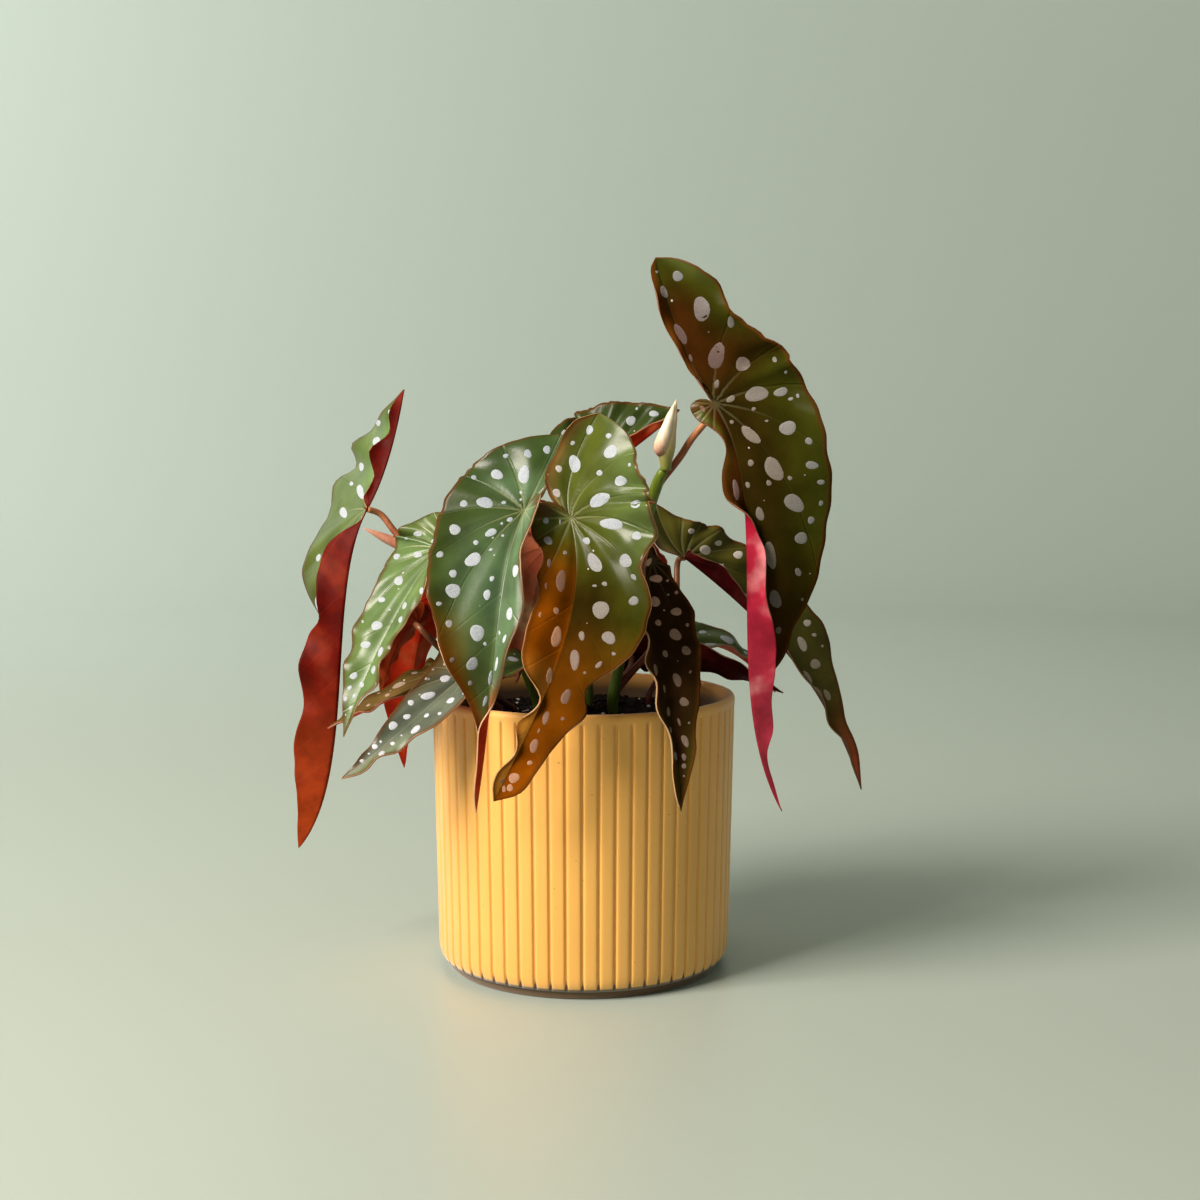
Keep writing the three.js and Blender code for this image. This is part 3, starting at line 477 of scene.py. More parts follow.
LEAF_DEFAULTS = {
    "wide_shape": (0.45, 0.95), "narrow_shape": (0.35, 0.95), "fold": (8, 14), "fold_narrow": (30, 45),
    "inner_fold": 10, "turn": (0.1, 0.9), "pinch": (0, 0.65), "ear": 2, "wave": 2.4, "waves": 4,
    "phase": 0.5,
}

LEAVES = {
    "leaf_front_center": {
        "side": -1, "stalk": (-5, -46, 201), "near": (5, -62, 167), "far": (-14, -81, 132),
        "tip": (-35, -92, 91), "lobe": (7, -43, 245), "faces": (-22, 20), "tip_faces": (-6, 2),
        "fold": (16, 0), "wave": 2.8, "waves": 4.6, "phase": 0.4},
    "leaf_front_left": {
        "side": 1, "stalk": (-24, -43, 204), "near": (-36, -62, 180), "far": (-34.6, -78, 133),
        "tip": (-43.2, -77, 83), "lobe": (-9, -26, 236), "faces": (-18, 12), "tip_faces": (20, 8),
        "inner": 7, "fold": (4, 14), "wave": 1.8, "waves": 3.2, "phase": 2.2},
    "leaf_upper_right": {
        "side": -1, "stalk": (56, -26, 249), "near": (83, -41, 209), "far": (55, -53, 129),
        "tip": (85, -41, 76), "lobe": (31, -22, 311), "faces": (-30, 2), "tip_faces": (66, 8), "ear": 1.5,
        "fold": (0, 0), "inner_fold": 30, "wave": 2.6, "waves": 5, "phase": 1.1},
    "leaf_far_left": {
        "side": 1, "stalk": (-96, 2, 203), "near": (-114, -13, 169), "far": (-100, -6, 84),
        "tip": (-129, 1, 50), "lobe": (-80, 9, 256), "faces": (-66, 2), "tip_faces": (-50, 4),
        "fold": (6, 10), "fold_narrow": (132, 138), "inner_fold": 138, "turn": (0, 0.4), "wave": 2.8,
        "waves": 4.5, "phase": 2.6},
    "leaf_left_mid": {
        "side": 1, "stalk": (-62, -24, 187), "near": (-74, -33, 169), "far": (-90, -48, 141),
        "tip": (-100, -52, 110), "lobe": (-65, -13, 202), "faces": (-32, 34), "tip_faces": (-34, 30),
        "inner": 6, "fold": (5, 12), "wave": 2.2, "waves": 4.2, "phase": 1.4},
    "leaf_left_back": {
        "side": 1, "stalk": (-46, -6, 192), "near": (-52, -9, 182), "far": (-53, -8, 164),
        "tip": (-50, -10, 148), "lobe": (-54, 4, 214), "faces": (-20, 25), "wide": 16, "narrow": 10,
        "inner": 6},
    "leaf_left_spotted": {
        "side": 1, "stalk": (-48, -37, 135), "near": (-61, -48, 127), "far": (-79, -60, 109),
        "tip": (-99, -66, 95), "lobe": (-46, -29, 146), "faces": (-15, 40), "tip_faces": (-22, 44),
        "inner": 6, "fold": (18, 14), "fold_narrow": (28, 19), "wave": 1.6, "waves": 3.5, "phase": 0.9},
    "leaf_left_edge": {
        "side": 1, "stalk": (-62, -14, 132), "near": (-76, -18, 124), "far": (-94, -24, 117),
        "tip": (-110.5, -28, 109.5), "lobe": (-52, -8, 138), "faces": (-10, 84), "wide": 15, "narrow": 10,
        "inner": 4, "fold": (10, 10), "fold_narrow": (15, 15), "wave": 1.5},
    "leaf_left_red": {
        "side": -1, "stalk": (-62, 12, 166), "near": (-76, 14, 160), "far": (-80, 16, 122),
        "tip": (-83, 20, 83), "lobe": (-54, 14, 184), "faces": (200, 5), "wide": 24, "narrow": 13,
        "inner": 6},
    "leaf_left_small_red": {
        "side": -1, "stalk": (-75, 0, 152), "near": (-80, -1, 150), "far": (-86, 0, 138),
        "tip": (-91, 0, 120), "lobe": (-71, 2, 161), "faces": (215, 20), "wide": 13, "narrow": 9,
        "inner": 4, "wave": 1.4},
    "leaf_right_dark": {
        "side": -1, "stalk": (29, -44, 183), "near": (22, -63, 159), "far": (40, -75, 120),
        "tip": (40, -78, 84), "lobe": (29, -41, 190), "faces": (34, 0), "tip_faces": (14, 12), "inner": 3,
        "fold": (10, 10), "fold_narrow": (44, 43), "wave": 1.8, "waves": 4.4, "phase": 2.9},
    "leaf_right_back": {
        "side": -1, "stalk": (46, 22, 180), "near": (66, 28, 164), "far": (113, 34, 128),
        "tip": (130, 34, 70), "lobe": (32, 26, 205), "faces": (15, 25), "tip_faces": (20, 30), "inner": 8,
        "fold": (6, 8), "fold_narrow": (128, 48), "turn": (0.3, 0.75), "wave": 2.4, "waves": 4.5,
        "phase": 0.2},
    "leaf_right_low": {
        "side": -1, "stalk": (22, 26, 134), "near": (36, 24, 142), "far": (62, 14, 134),
        "tip": (90, 6, 120), "lobe": (10, 30, 138), "faces": (185, 40), "wide": 14, "narrow": 9,
        "inner": 4, "fold": (8, 8), "fold_narrow": (15, 15), "wave": 1.4},
    "leaf_right_rear": {
        "side": -1, "stalk": (40, 40, 132), "near": (54, 48, 142), "far": (72, 56, 138),
        "tip": (92, 62, 112), "lobe": (34, 38, 142), "faces": (30, 60), "wide": 16, "narrow": 11,
        "inner": 5, "wave": 1.6},
    "leaf_top_back": {
        "side": -1, "stalk": (7, 14, 218), "near": (19, 11, 228), "far": (31, 12, 236),
        "tip": (43, 12, 247), "lobe": (-18, 18, 229), "faces": (-8, 30), "tip_faces": (-10, 36),
        "wide": 32, "wide_shape": (0.47, 0.9), "narrow": 8, "narrow_shape": (0.32, 1.1), "inner": 6,
        "fold": (6, 6), "fold_narrow": (120, 120), "wave": 1.4, "waves": 3},
    "leaf_center_back": {
        "side": -1, "stalk": (-14, 8, 186), "near": (-22, 12, 178), "far": (-24, 2, 148),
        "tip": (-30, -6, 126), "lobe": (-10, 14, 204), "faces": (190, 0), "wide": 20, "narrow": 14,
        "inner": 6},
    "leaf_center_low": {
        "side": 1, "stalk": (-16, -8, 132), "near": (-22, -20, 138), "far": (-34, -34, 136),
        "tip": (-44, -46, 124), "lobe": (-10, -2, 138), "faces": (20, 62), "wide": 13, "narrow": 9,
        "inner": 4, "wave": 1.2},
    "leaf_rear_right": {
        "side": 1, "stalk": (8, 44, 180), "near": (16, 62, 172), "far": (18, 82, 132),
        "tip": (14, 92, 86), "lobe": (-4, 34, 200), "faces": (165, 20), "wide": 28, "narrow": 18,
        "inner": 9, "pinch": (0.3, 0.65), "wave": 2.6, "phase": 1.9},
    "leaf_rear_left": {
        "side": -1, "stalk": (-30, 42, 184), "near": (-42, 60, 176), "far": (-50, 76, 132),
        "tip": (-44, 88, 86), "lobe": (-20, 34, 206), "faces": (205, 18), "wide": 31, "narrow": 17,
        "inner": 9, "pinch": (0.3, 0.65), "wave": 2.6, "phase": 0.7},
    "leaf_rear_low": {
        "side": -1, "stalk": (-4, 50, 137), "near": (-6, 62, 137), "far": (-8, 80, 126),
        "tip": (-14, 87, 96), "lobe": (-2, 42, 149), "faces": (185, 55), "wide": 19, "narrow": 13,
        "inner": 5, "wave": 1.8},
}

# Where a leaf shows plainly, its edge is given as pairs of a station and the width there in mm. Most
# widths were measured by a separate program, where the ribs meet the outlines traced by eye.
EDGES = {
    "leaf_front_center": {
        "wide": ((-1, 0), (-0.97, 10), (-0.9, 20), (-0.7, 33), (-0.5, 39), (-0.2, 42.5), (0.05, 41),
                 (0.2, 33.8), (0.3, 35.7), (0.4, 33.8), (0.5, 28.5), (0.6, 15.7), (0.68, 19), (0.8, 12.1),
                 (0.9, 10.2), (0.96, 7.6), (1, 0)),
        "narrow": ((0, 16), (0.06, 18), (0.1, 17.5), (0.17, 14), (0.25, 16.2), (0.31, 14.8), (0.45, 17),
                   (0.52, 16.5), (0.6, 13), (0.66, 3.5), (0.7, 2.5), (0.76, 5), (0.81, 3.8), (0.86, 2),
                   (0.92, 4.5), (0.96, 4), (1, 0)),
        "inner": ((-1, 0), (-0.97, 2.7), (-0.9, 7), (-0.7, 9.8), (-0.45, 10.8), (-0.3, 9.4), (-0.1, 4),
                  (0, 0))},
    "leaf_front_left": {
        "wide": ((-1, 0), (-0.97, 5.5), (-0.9, 14.4), (-0.7, 25), (-0.6, 29.2), (-0.5, 32.2), (-0.3, 32.8),
                 (-0.1, 34.4), (0.05, 35.8), (0.2, 34), (0.4, 30.5), (0.5, 25), (0.6, 21.5), (0.7, 9),
                 (0.8, 3.5), (0.9, 2.4), (1, 0)),
        "narrow": ((0, 13), (0.1, 13), (0.2, 10.5), (0.3, 12.5), (0.4, 13), (0.5, 9.6), (0.6, 5),
                   (0.68, 2.6), (0.75, 4.5), (0.85, 4.3), (0.95, 3), (1, 0))},
    "leaf_upper_right": {
        "wide": ((-1, 0), (-0.97, 8.7), (-0.9, 17), (-0.8, 23), (-0.7, 25), (-0.5, 29.5), (-0.3, 37.5),
                 (-0.1, 41), (0.05, 39), (0.12, 40.5), (0.2, 39), (0.3, 36.5), (0.4, 33), (0.5, 30),
                 (0.6, 24), (0.65, 17.5), (0.7, 8.5), (0.8, 6.5), (0.85, 2.8), (0.9, 2), (1, 0)),
        "narrow": ((0, 10.5), (0.03, 9.8), (0.06, 7), (0.1, 4), (0.14, 3.8), (0.2, 8), (0.25, 8.1),
                   (0.3, 6.8), (0.35, 5.5), (0.4, 7.8), (0.5, 8.5), (0.6, 11.8), (0.65, 11.5), (0.7, 9.7),
                   (0.8, 8), (0.85, 3.2), (0.92, 2.2), (1, 0)),
        "inner": ((-1, 0), (-0.95, 3.2), (-0.8, 4.2), (-0.7, 5), (-0.55, 3.5), (-0.4, 2.7), (-0.2, 1),
                  (0, 0))},
    "leaf_far_left": {
        "wide": ((-1, 0), (-0.97, 3.6), (-0.9, 10), (-0.8, 20), (-0.7, 31), (-0.5, 38.5), (-0.3, 43),
                 (-0.1, 44.6), (0.1, 45.4), (0.2, 44), (0.3, 35), (0.4, 16), (0.5, 10), (0.6, 7.4),
                 (0.8, 4), (0.9, 3.5), (1, 0)),
        "narrow": ((0, 0.5), (0.05, 1), (0.1, 7.6), (0.15, 13.5), (0.22, 15), (0.3, 13.3), (0.35, 12),
                   (0.4, 17.5), (0.5, 18.8), (0.6, 16.5), (0.68, 18.6), (0.75, 16.7), (0.85, 10.4),
                   (0.95, 4.6), (1, 0)),
        "inner": ((-1, 0), (-0.93, 3), (-0.85, 4.6), (-0.7, 4.2), (-0.5, 9.2), (-0.4, 8.3), (-0.3, 4.2),
                  (-0.2, 3.4), (-0.1, 4.4), (0, 0))},
    "leaf_left_mid": {
        "wide": ((-1, 0), (-0.95, 6), (-0.85, 13), (-0.7, 19.5), (-0.5, 22.3), (-0.1, 23.9), (0.05, 22.8),
                 (0.2, 19.4), (0.3, 18.2), (0.4, 18.5), (0.5, 17), (0.6, 14.7), (0.75, 11), (0.85, 6.7),
                 (0.93, 2.8), (1, 0)),
        "narrow": ((0, 12), (0.2, 12), (0.33, 12.5), (0.4, 9), (0.48, 11), (0.55, 5), (0.6, 5), (0.68, 8),
                   (0.77, 7.5), (0.82, 4), (0.9, 1.5), (1, 0))},
    "leaf_left_spotted": {
        "wide": ((-1, 0), (-0.9, 9), (-0.6, 14), (0, 16.4), (0.1, 14.8), (0.3, 11), (0.4, 10.6),
                 (0.5, 9.6), (0.7, 5.4), (0.9, 1.7), (1, 0)),
        "narrow": ((0, 15), (0.15, 17), (0.25, 18), (0.4, 15.8), (0.5, 15.8), (0.7, 10.3), (0.8, 6.9),
                   (0.93, 5), (1, 0))},
    "leaf_right_dark": {
        "wide": ((-1, 0), (-0.5, 1.5), (-0.1, 5.7), (0.05, 11), (0.1, 14), (0.2, 18.8), (0.3, 20),
                 (0.4, 19.6), (0.5, 17.5), (0.6, 14.3), (0.7, 10.3), (0.8, 8), (0.86, 5.4), (0.95, 1.5),
                 (1, 0)),
        "narrow": ((0, 12), (0.3, 13), (0.4, 12), (0.5, 9.2), (0.6, 8.8), (0.65, 7.8), (0.7, 4.6),
                   (0.8, 3.6), (0.9, 3.3), (0.96, 2.6), (1, 0))},
    "leaf_right_back": {
        "wide": ((-1, 0), (-0.8, 6), (-0.5, 13.4), (-0.3, 18.4), (-0.1, 20.3), (0.1, 22.7), (0.3, 24),
                 (0.5, 23.8), (0.6, 21.6), (0.7, 13.5), (0.78, 7.5), (0.9, 5), (1, 0)),
        "narrow": ((0, 4), (0.1, 7.3), (0.25, 7.7), (0.3, 5.8), (0.38, 3), (0.55, 3), (0.65, 7), (0.74, 8),
                   (0.8, 5), (0.88, 3), (1, 0))},
}
# A narrow half that curls is given as pairs of a station and the angle it is raised by, in degrees.
CURLS = {
    "leaf_front_center": ((0, 20), (0.5, 34), (0.62, 48), (1, 45)),
    "leaf_front_left": ((0, 48), (0.55, 42), (0.68, 60), (0.78, 130), (1, 150)),
    "leaf_upper_right": ((0, 8), (0.1, 30), (0.18, 10), (0.25, 25), (0.33, 120), (0.42, 142), (1, 140)),
    "leaf_left_mid": ((0, 34), (0.3, 30), (0.45, 16), (1, 16)),
}


# %% [markdown]
# ### The rules of the blade
# Two curves make the spine: the midrib, from the stalk to the tip, and the lobe's vein, from the
# stalk back to the lobe's end. A point of the blade is found from its half, its station u (-1 at the
# lobe's end, 0 at the stalk, 1 at the tip) and r, which goes from 0 on the spine to 1 at the edge.
# The rules below turn these into a place, and also say where the point would lie if the leaf were
# pressed flat, because veins and spots keep their sizes there.


# %% Curves
def through(pairs, x):
    """A smooth line through pairs of place and value, flat beyond its ends."""
    if x <= pairs[0][0]:
        return pairs[0][1]
    if x >= pairs[-1][0]:
        return pairs[-1][1]
    k = max(i for i in range(len(pairs) - 1) if pairs[i][0] <= x)
    (a, p), (b, q) = pairs[k], pairs[k + 1]
    before, after = pairs[max(k - 1, 0)], pairs[min(k + 2, len(pairs) - 1)]
    start = (q - before[1]) / (b - before[0]) * (b - a)
    end = (after[1] - p) / (after[0] - a) * (b - a)
    t = (x - a) / (b - a)
    return (p + t * start + t * t * (3 * (q - p) - 2 * start - end)
            + t * t * t * (2 * (p - q) + start + end))


def hump(q, rise, run):
    """A rounded hump over 0..1 with its top of 1 at rise / (rise + run)."""
    top = rise / (rise + run)
    q = clamp(q)
    return (q / top) ** rise * ((1 - q) / (1 - top)) ** run


def facing(azimuth, lift):
    """The unit vector that looks out at an azimuth (0 is the front) and a height angle."""
    a, b = math.radians(azimuth), math.radians(lift)
    return Vector((math.sin(a) * math.cos(b), -math.cos(a) * math.cos(b), math.sin(b)))


def half_at(x, y):
    """The half that a point of the flat leaf belongs to."""
    if y >= 0:
        return "wide"
    return "narrow" if x >= 0 else "inner"


def bezier(points, t):
    """The place and the direction of a Bezier curve at t."""
    while len(points) > 2:
        points = [a.lerp(b, t) for a, b in zip(points, points[1:])]
    return points[0].lerp(points[1], t), (points[1] - points[0]).normalized()


# %% Leaf shape
class Leaf:
    """One leaf: its own values, its two curves, and the rules that place a point of its blade."""

    def __init__(self, name):
        self.name = name
        self.__dict__.update(LEAF_DEFAULTS)
        self.__dict__.update(LEAVES[name])
        self.edges = EDGES.get(name, {})
        self.curl = CURLS.get(name)
        self.tip_faces = getattr(self, "tip_faces", self.faces)
        stalk, lobe = Vector(self.stalk), Vector(self.lobe)
        self.midrib = [stalk, Vector(self.near), Vector(self.far), Vector(self.tip)]
        start = (self.midrib[1] - stalk).normalized()
        reach = (lobe - stalk).length
        self.lobe_vein = [stalk, stalk - start * VEIN_BEND * reach, lobe]
        self.chord = (Vector(self.tip) - lobe).normalized()
        self.table = [0.0]
        self.back_table = [0.0]
        for curve, table in ((self.midrib, self.table), (self.lobe_vein, self.back_table)):
            for k in range(1, CURVE_STEPS + 1):
                step = bezier(curve, k / CURVE_STEPS)[0] - bezier(curve, (k - 1) / CURVE_STEPS)[0]
                table.append(table[-1] + step.length)
        self.length = self.table[-1]
        self.lobe_share = reach / self.length

    def along(self, u):
        """How far along the spine the station u lies from the stalk, in millimetres."""
        table = self.table if u >= 0 else self.back_table
        k = min(int(abs(u) * CURVE_STEPS), CURVE_STEPS - 1)
        far = mix(table[k], table[k + 1], abs(u) * CURVE_STEPS - k)
        return far if u >= 0 else -far

    def station(self, x):
        """The station that lies x millimetres along the spine."""
        table = self.table if x >= 0 else self.back_table
        far = min(abs(x), table[-1] * 0.9999)
        k = max(i for i in range(CURVE_STEPS) if table[i] <= far)
        u = (k + (far - table[k]) / (table[k + 1] - table[k])) / CURVE_STEPS
        return u if x >= 0 else -u

    def frame(self, u):
        """The spine's place at u, and three directions there: the rib's, up, and out to the wide half."""
        if u >= 0:
            centre, along = bezier(self.midrib, u)
        else:
            centre, along = bezier(self.lobe_vein, -u)
            along = -along
        rib = (along * SPINE_BEND + self.chord * (1 - SPINE_BEND)).normalized()
        k = ease(u, 0, 1)
        look = facing(mix(self.faces[0], self.tip_faces[0], k), mix(self.faces[1], self.tip_faces[1], k))
        up = (look - rib * look.dot(rib)).normalized()
        return centre, rib, up, rib.cross(up) * self.side

    def narrow_width(self, u):
        if "narrow" in self.edges:
            return through(self.edges["narrow"], u)
        return self.narrow * hump((u + NARROW_START) / (1 + NARROW_START), *self.narrow_shape)

    def width(self, half, u):
        """The width of a half from the spine to its edge, in millimetres."""
        if half in ("wide", "inner") and half in self.edges:
            return through(self.edges[half], u)
        if half == "wide":
            x = u if u >= 0 else u * self.lobe_share
            pinch = self.pinch[0] * ease(u, self.pinch[1] - PINCH_EASE, self.pinch[1] + PINCH_EASE)
            place = (x + self.lobe_share) / (1 + self.lobe_share)
            return self.wide * hump(place, *self.wide_shape) * (1 - pinch)
        if half == "narrow":
            return self.narrow_width(u)
        if half == "inner":
            return self.inner * hump(1 + u, 0.5, 1.1)
        fall = (1 + math.cos(math.pi * u)) / 2
        return self.narrow_width(0) * fall + self.ear * math.sin(math.pi * u)

    def broadest(self, half):
        return max(self.width(half, k / 20) for k in range(21))

    def lift(self, half, u):
        """How far a half is raised out of the flat, in degrees."""
        k = ease(u, *self.turn)
        if half == "wide":
            return mix(*self.fold, k)
        if half == "inner":
            return self.inner_fold
        if self.curl:
            return through(self.curl, u if half == "narrow" else 0)
        return mix(*self.fold_narrow, k) if half == "narrow" else self.fold_narrow[0]

    def wave_height(self, half, u, r):
        """How far the waves lift a point; they grow towards the edge and fade out at the tip."""
        if half == "ear":
            return 0
        x = u if u > 0 else u * self.lobe_share * LOBE_WAVES
        turn = 2 * math.pi * self.waves * (x + 0.06 * math.sin(7 * x + self.phase))
        strength = (1 - u / 2 if u > 0 else 1) * clamp((1 - u) * 6)
        shift = {"wide": 0, "narrow": 1.7, "inner": 3}[half]
        start = {"wide": clamp((u + 1) * 4), "narrow": clamp(u * 5),
                 "inner": clamp(-u * 3) * clamp((u + 1) * 5)}[half]
        beat = 1 + 0.35 * math.sin(0.37 * turn + 1.3 * self.phase)
        return self.wave * strength * start * beat * r * r * math.sin(turn + self.phase + shift)

    def backwards(self, half, u):
        """How far back the ear reaches at its edge; no other half does."""
        return -EAR_SHARE * self.narrow_width(0) * math.sin(math.pi * u) if half == "ear" else 0

    def flat(self, half, u, r):
        """Where the point would lie on the flat leaf: x along the spine and y out to the wide half."""
        x = self.along(u) if half != "ear" else 0
        y = self.width(half, u) * r
        return x + self.backwards(half, u) * r, y if half == "wide" else -y

    def veins(self, x, y):
        """The turn of the vein fan, in spacings, and the distance from the stalk, of a flat point."""
        far = math.hypot(x, y)
        turn = math.degrees(math.atan2(abs(y), x)) if far > 1e-6 else 0
        turn += 50 * math.sin(math.radians(turn)) * far / self.length
        return turn / VEIN_SPACING, far

    def pillow(self, half, u, r):
        """The blade bulges a little between its veins."""
        x, y = self.flat(half, u, r)
        fan, far = self.veins(x, y)
        bulge = 0.5 - 0.5 * math.cos(2 * math.pi * fan)
        return PILLOW * bulge * clamp(far / 25) * clamp((1 - r) * 3) * clamp((1 - u) * 4)

    def at(self, half, u, r):
        """A point of a half, r of the way from the spine to the edge, in millimetres."""
        centre, rib, up, out = self.frame(0 if half == "ear" else u)
        width = self.width(half, u)
        lift = math.radians(self.lift(half, u))
        height = self.wave_height(half, u, r) + self.pillow(half, u, r)
        sign = 1 if half == "wide" else -1
        ripple = 1 + r * r * CRINKLE * (math.sin(47 * u + self.phase) + math.sin(83 * u)) if u < 1 else 1
        across = width * r * ripple
        return (centre
                + out * sign * (across * math.cos(lift) - height * math.sin(lift))
                + up * (across * math.sin(lift) + height * math.cos(lift))
                + rib * self.backwards(half, u) * r)

    def at_flat(self, x, y, above=0):
        """The place of a point of the flat leaf, at a height above the blade, or None outside it."""
        half = half_at(x, y)
        u = self.station(x)
        r = abs(y) / max(self.width(half, u), 1e-6)
        if r > 1:
            return None
        here = self.at(half, u, r)
        if above:
            along = self.at(half, min(u + STEP, 1), r) - self.at(half, max(u - STEP, -1), r)
            across = self.at(half, u, min(r + STEP, 1)) - self.at(half, u, max(r - STEP, 0))
            normal = along.cross(across).normalized()
            if normal.dot(self.frame(u)[2]) * math.cos(math.radians(self.lift(half, u))) < 0:
                normal.negate()
            here = here + normal * above
        return here


leaves = {name: Leaf(name) for name in LEAVES}
print("Midribs in mm:", {name[5:]: round(leaf.length) for name, leaf in leaves.items()})

# %% [markdown]
# ## The colours of the leaves
# A begonia leaf is green above and crimson below, because the lower skin is full of red dye. Where light
# comes through the blade, both colours mix to bronze or amber: the amber tone is that glow, painted in, and
# honey is amber lightened as painted light where the light falls on it. Other tones are painted light and
# shade as well. The pale greens of the front left leaf are its painted sheen and highlights, umber and
# bronze beside the front leaf's midrib are painted shade from its folded half, and night and dim are painted
# shade, nearly black, on the dark leaf at the right. For each half of a leaf, one row of tones runs along
# the spine and one along the edge, and the tones in between are blended. A spot is silvery, and takes on
# some of the tone that it stands on; on leaves in shade, the spot tones are lightened as painted light. The
# tones and their order were set with a separate program, which compared the median colours of the photograph
# and of a render for each stretch of a leaf.

# %% Leaf tones
TONES = {
    # name: the colour of the blade, and the colour of a spot on it
    "fresh": ("#5c7440", "#a8aeb4"),
    # A pale green: painted sheen, where the wax catches the light.
    "mist": ("#4e6644", "#b6bcc4"),
    "leaf": ("#53642e", "#a8aeb6"),
    "fern": ("#35481f", "#949ca6"),
    "deep": ("#303e14", "#989ea4"),
    "olive": ("#454d13", "#a0a6ae"),
    "moss": ("#33350a", "#767676"),
    "umber": ("#281e05", "#6e645a"),
    "bronze": ("#5a2f03", "#6a4c3c"),
    # Amber: painted light, the glow of light that comes through the blade.
    "amber": ("#844203", "#bc8a6c"),
    "rust": ("#341b05", "#584440"),
    "grey": ("#5c6454", "#bcc0ca"),
    # Shade: blade and spot lightened as painted light, for a leaf that lies in shade.
    "shade": ("#4e4b1c", "#c6beb6"),
    "dusk": ("#68522c", "#a08a76"),
    # A paler green: painted highlight.
    "highlight_green": ("#748a6c", "#ccd0d2"),
    # Honey: amber lightened as painted light, where the light falls on it.
    "honey": ("#dc9036", "#a08068"),
    "ember": ("#c05a40", "#b07868"),
    "loam": ("#504a22", "#948270"),
    # Dim: painted shade.
    "dim": ("#2e1c0c", "#7c6456"),
    "straw": ("#7c7544", "#bcb09a"),
    "ash": ("#7a7868", "#c8c8cc"),
    "slate": ("#464a3a", "#b0b4ba"),
    "flame": ("#b8401c", "#c07050"),
    # Night: painted shade on the blade, with its spot lightened as painted light.
    "night": ("#2e1c0c", "#b8927e"),
}
# For each leaf: the wide half's tones along the spine and along the edge, from the lobe's end to the
# tip, then the narrow half's from the stalk to the tip, then the inner edge's, and the rim's colour.
LEAF_TONES = {
    "leaf_front_center": {
        # Beside the wide half's midrib, umber and bronze are painted shade from the folded narrow half.
        # Amber is the painted glow of light through the blade, and honey is amber lightened as painted
        # light.
        "wide": (("olive", "olive", "olive", "olive", "umber", "bronze", "amber"),
                 ("leaf", "leaf", "leaf", "leaf", "moss", "bronze", "amber")),
        "narrow": (("olive", "bronze", "amber", "honey", "honey"),
                   ("olive", "bronze", "amber", "honey", "honey")),
        "inner": "dusk", "rim": "#a87848"},
    "leaf_front_left": {
        "wide": (("fern", "fern", "mist", "fern", "mist", "leaf", "flame"),
                 ("deep", "fern", "fern", "deep", "deep", "bronze", "flame")),
        "narrow": (("highlight_green", "mist", "mist", "mist", "flame", "flame"),
                   ("mist", "mist", "mist", "mist", "flame", "flame")),
        "inner": "mist", "rim": "#b38a66"},
    "leaf_upper_right": {
        "wide": (("moss", "rust", "rust", "umber", "umber", "rust", "rust"),
                 ("olive", "moss", "umber", "moss", "moss", "rust", "rust")),
        "narrow": (("rust", "rust", "rust", "rust", "rust"), ("olive", "rust", "rust", "rust", "rust")),
        "inner": "bronze", "rim": "#7a4426"},
    "leaf_far_left": {
        "wide": (("leaf", "fresh", "fresh", "leaf", "leaf", "olive", "olive"),
                 ("leaf", "leaf", "leaf", "leaf", "olive", "olive", "olive")),
        "narrow": (("olive", "olive"), ("olive", "olive")),
        "inner": "leaf", "rim": "#a8653a"},
    "leaf_left_mid": {
        "wide": (("leaf", "leaf", "fresh", "fresh", "fresh", "fresh", "fresh"),
                 ("deep", "leaf", "leaf", "fresh", "fresh", "leaf", "leaf")),
        "narrow": (("fresh", "fresh"), ("leaf", "fresh", "fresh")),
        "inner": "leaf", "rim": "#a88258"},
    "leaf_left_back": {
        "wide": (("fresh", "fresh", "leaf"), ("leaf", "leaf", "leaf")),
        "narrow": (("fresh", "leaf"), ("leaf", "leaf")), "inner": "fresh", "rim": "#a88258"},
    "leaf_left_spotted": {
        "wide": (("grey", "grey", "grey"), ("grey", "fern", "dusk", "slate", "grey")),
        "narrow": (("grey", "grey", "ash"), ("grey", "grey", "fresh")), "inner": "grey",
        "rim": "#a07048"},
    "leaf_left_edge": {
        "wide": (("umber", "dusk", "dusk"), ("umber", "umber", "dusk")),
        "narrow": (("umber", "dusk"), ("umber", "dusk")), "inner": "umber", "rim": "#8a4a30"},
    "leaf_right_dark": {
        "wide": (("night", "night", "night", "dim", "dim"), ("night", "night", "night", "dim", "moss")),
        "narrow": (("night", "dim", "moss"), ("night", "dim", "moss")), "inner": "night",
        "rim": "#a8845e"},
    "leaf_right_back": {
        "wide": (("olive", "shade", "shade", "shade", "shade", "shade", "loam", "ember"),
                 ("olive", "shade", "shade", "shade", "shade", "shade", "loam", "ember")),
        "narrow": (("shade", "shade", "loam", "loam", "ember"),
                   ("shade", "shade", "loam", "loam", "ember")),
        "inner": "straw", "rim": "#7a5638"},
    "leaf_top_back": {
        "wide": (("deep", "deep", "deep"), ("deep", "deep", "deep")),
        "narrow": (("deep", "deep"), ("deep", "deep")), "inner": "olive", "rim": "#8a5a38"},
}
OTHER_TONES = {
    "wide": (("deep", "deep", "leaf"), ("deep", "deep", "leaf")),
    "narrow": (("deep", "leaf"), ("deep", "leaf")), "inner": "deep", "rim": "#9a6a48"}


